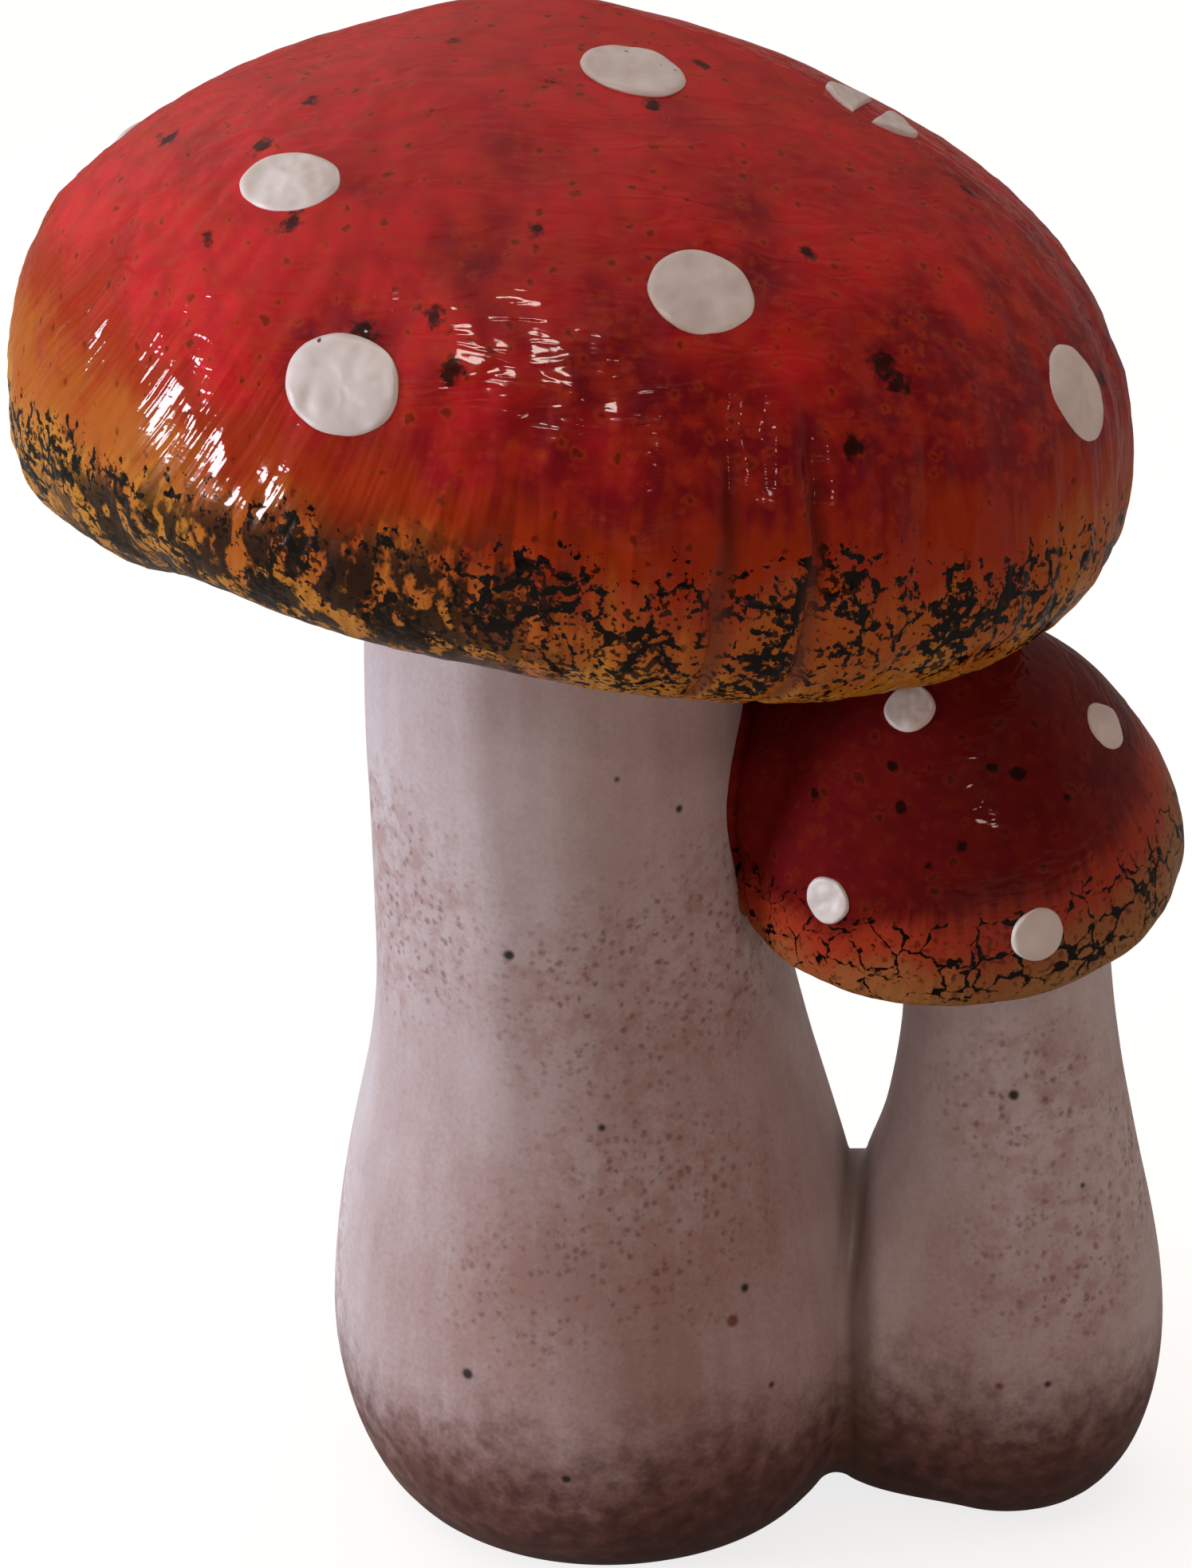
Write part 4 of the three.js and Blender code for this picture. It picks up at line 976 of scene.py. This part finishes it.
def lay_dabs(name, cap, place, nodes, halves=()):
    """All of a cap's dabs as one piece, placed and sized by their CAD nodes.

    halves names the two nodes that are the halves of one dab. DAB_STRETCH widens and lengthens single dabs,
    and DAB_SHIFT moves one round the cap.
    """
    centre = place.translation
    axis = (place.to_3x3() @ UP).normalized()
    points, facings, acrosses, alongs, half_signs = [], [], [], [], []
    groups = [(node,) for node in nodes if node not in halves]
    for group in groups + [halves] * 2 * bool(halves):
        spots, facing = [], Vector()
        for node in group:
            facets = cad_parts[node].data
            spots += [vert.co for vert in facets.vertices]
            for face in facets.polygons:
                if face.normal.dot(face.center - centre) > 0:
                    facing += face.normal * face.area
        facing.normalize()
        sideways = axis.cross(facing).normalized()
        onward = facing.cross(sideways)
        spans = []
        for way in (sideways, onward):
            shares = [spot.dot(way) for spot in spots]
            spans.append((min(shares), max(shares)))
        (left, right), (low, high) = spans
        middle = sideways * (left + right) / 2 + onward * (low + high) / 2
        shift = sideways * DAB_SHIFT.get(group[0], 0.0)
        points.append(middle + shift + facing * spots[0].dot(facing))
        facings.append(facing)
        wider, longer = DAB_STRETCH.get(group[0], (1.0, 1.0))
        acrosses.append(sideways * wider * (right - left) / 2)
        alongs.append(onward * longer * (high - low) / 2)
        half_signs.append(0.0 if group != halves else 1.0 if half_signs[-1] == 0.0 else -1.0)
    mesh = bpy.data.meshes.new(name)
    mesh.from_pydata(points, [], [])
    for label, vectors in (("facing", facings), ("across", acrosses), ("along", alongs)):
        field = mesh.attributes.new(label, "FLOAT_VECTOR", "POINT")
        field.data.foreach_set("vector", [part for vector in vectors for part in vector])
    mesh.attributes.new("half", "FLOAT", "POINT").data.foreach_set("value", half_signs)
    piece = bpy.data.objects.new(name, mesh)
    bpy.context.scene.collection.objects.link(piece)
    run_tree(piece, thick_dabs, {"Cap": cap, "Rise": DAB_RISE, "Bury": DAB_BURY, "Material": white_slip})
    dress(piece, white_slip, "spot_glaze", *nodes)


thick_dabs = dab_tree()
white_slip = thick_white_slip("thick_white_slip")
large_dabs = [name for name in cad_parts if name.startswith("large_spot_")]
small_dabs = [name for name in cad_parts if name.startswith("small_spot_")]
lay_dabs("large_cap_dabs", large_cap, large_place, large_dabs, ("large_spot_6", "large_spot_7"))
lay_dabs("small_cap_dabs", small_cap, small_place, small_dabs)

# Floor, lights and camera. The statue stands on a white board in a dim warm room, with a window on its left.
# A room lamp and a ceiling lamp give the highlights on the caps, the ceiling lamp by its reflection only. A
# pale wall in front only fills the shadows, and the room is brighter high on the left and at the far right.
FLOOR_SIZE = 12.0
MIRRORED_GLOW = 0.1
board = bmesh.new()
bmesh.ops.create_grid(board, x_segments=1, y_segments=1, size=FLOOR_SIZE / 2)
floor = piece_from(board, "white_board")
board_paint, tree = blank_material("matt_white_board")
path = add(tree, "ShaderNodeLightPath")
mirrored = add(tree, "ShaderNodeMath", {
    0: path.outputs["Is Glossy Ray"], 1: MIRRORED_GLOW}, operation="MULTIPLY")
clear = add(tree, "ShaderNodeMath", {0: path.outputs["Is Transmission Ray"], 1: mirrored}, operation="ADD")
seen = add(tree, "ShaderNodeMath", {
    0: path.outputs["Is Camera Ray"], 1: clear}, operation="ADD", use_clamp=True)
glow = add(tree, "ShaderNodeEmission", {"Color": linear("FFFFFF"), "Strength": 0.8})
matt = add(tree, "ShaderNodeBsdfDiffuse", {"Color": linear("ACA8A4")})
lit = add(tree, "ShaderNodeAddShader", {0: matt, 1: glow})
shown = add(tree, "ShaderNodeMixShader", {0: seen, 1: matt, 2: lit})
add(tree, "ShaderNodeOutputMaterial", {"Surface": shown})
floor.data.materials.append(board_paint)

LOOK_AT = Vector((0.0, 0.0, 0.14))


def lamp(name, azimuth, elevation, distance, width, height, watts, colour):
    """Soft oval light aimed at the middle of the statue from an azimuth and elevation in degrees."""
    away = direction(azimuth, elevation)
    data = bpy.data.lights.new(name, "AREA")
    data.shape = "ELLIPSE"
    data.size, data.size_y = width, height
    data.energy = watts
    data.color = linear(colour)[:3]
    light = bpy.data.objects.new(name, data)
    light.location = LOOK_AT + away * distance
    light.rotation_euler = away.to_track_quat("Z", "Y").to_euler()
    bpy.context.scene.collection.objects.link(light)
    return light


lamp(
    "left_window", azimuth=-171, elevation=0, distance=1.3,
    width=0.32, height=0.24, watts=11.5, colour="EEF3FF")
lamp(
    "room_lamp", azimuth=-74, elevation=33, distance=1.6,
    width=0.12, height=0.12, watts=1.0, colour="FFE4D4")
pale_wall = lamp(
    "pale_wall", azimuth=-68, elevation=4, distance=1.6,
    width=1.0, height=0.5, watts=3.3, colour="FFE0D0")
pale_wall.visible_glossy = False
ceiling_lamp = lamp(
    "ceiling_lamp", azimuth=-109, elevation=53, distance=1.3,
    width=0.34, height=0.17, watts=5.5, colour="FFF6EA")
ceiling_lamp.visible_diffuse = False

SKY_BRIGHT_SIDE = Vector((-0.54, 0.32, 0.78))
SKY_FAR_SIDE = Vector((0.9, 0.42, 0.0))
world = bpy.data.worlds.new("dim_room")
world.use_nodes = True
sky = world.node_tree
sky.nodes.clear()
sky_way = add(sky, "ShaderNodeTexCoord")
levels = []
for side, start, low, high in ((SKY_BRIGHT_SIDE, 0.1, 0.095, 0.98), (SKY_FAR_SIDE, 0.5, 0.0, 0.36)):
    toward = add(sky, "ShaderNodeVectorMath", {
        0: sky_way.outputs["Generated"], 1: side.normalized()}, operation="DOT_PRODUCT")
    levels.append(add(sky, "ShaderNodeMapRange", {
        "Value": toward.outputs["Value"], "From Min": start, "From Max": 1.0, "To Min": low, "To Max": high},
        interpolation_type=SOFT))
sky_total = add(sky, "ShaderNodeMath", {0: levels[0], 1: levels[1]}, operation="ADD")
sky_tint = add(sky, "ShaderNodeMix", {
    "Factor": levels[0], "A": linear("FFDCC8"), "B": linear("FFF8F4")}, data_type="RGBA")
sky_light = add(sky, "ShaderNodeBackground", {"Color": sky_tint, "Strength": sky_total})
add(sky, "ShaderNodeOutputWorld", {"Surface": sky_light})
bpy.context.scene.world = world
bpy.context.scene.view_settings.view_transform = "Standard"

CAMERA_PLACE = Vector((-1.53, -828.7, 525.3)) * MM
CAMERA_PITCH, CAMERA_ROLL = math.radians(64.891), math.radians(-1.435)
camera_data = bpy.data.cameras.new("camera")
camera_data.lens = 122.25
camera_data.sensor_width = 36.0
camera = bpy.data.objects.new("camera", camera_data)
camera.location = CAMERA_PLACE
aim = Euler((CAMERA_PITCH, 0, 0)).to_matrix() @ Euler((0, 0, CAMERA_ROLL)).to_matrix()
camera.rotation_euler = aim.to_euler()
bpy.context.scene.collection.objects.link(camera)
bpy.context.scene.camera = camera
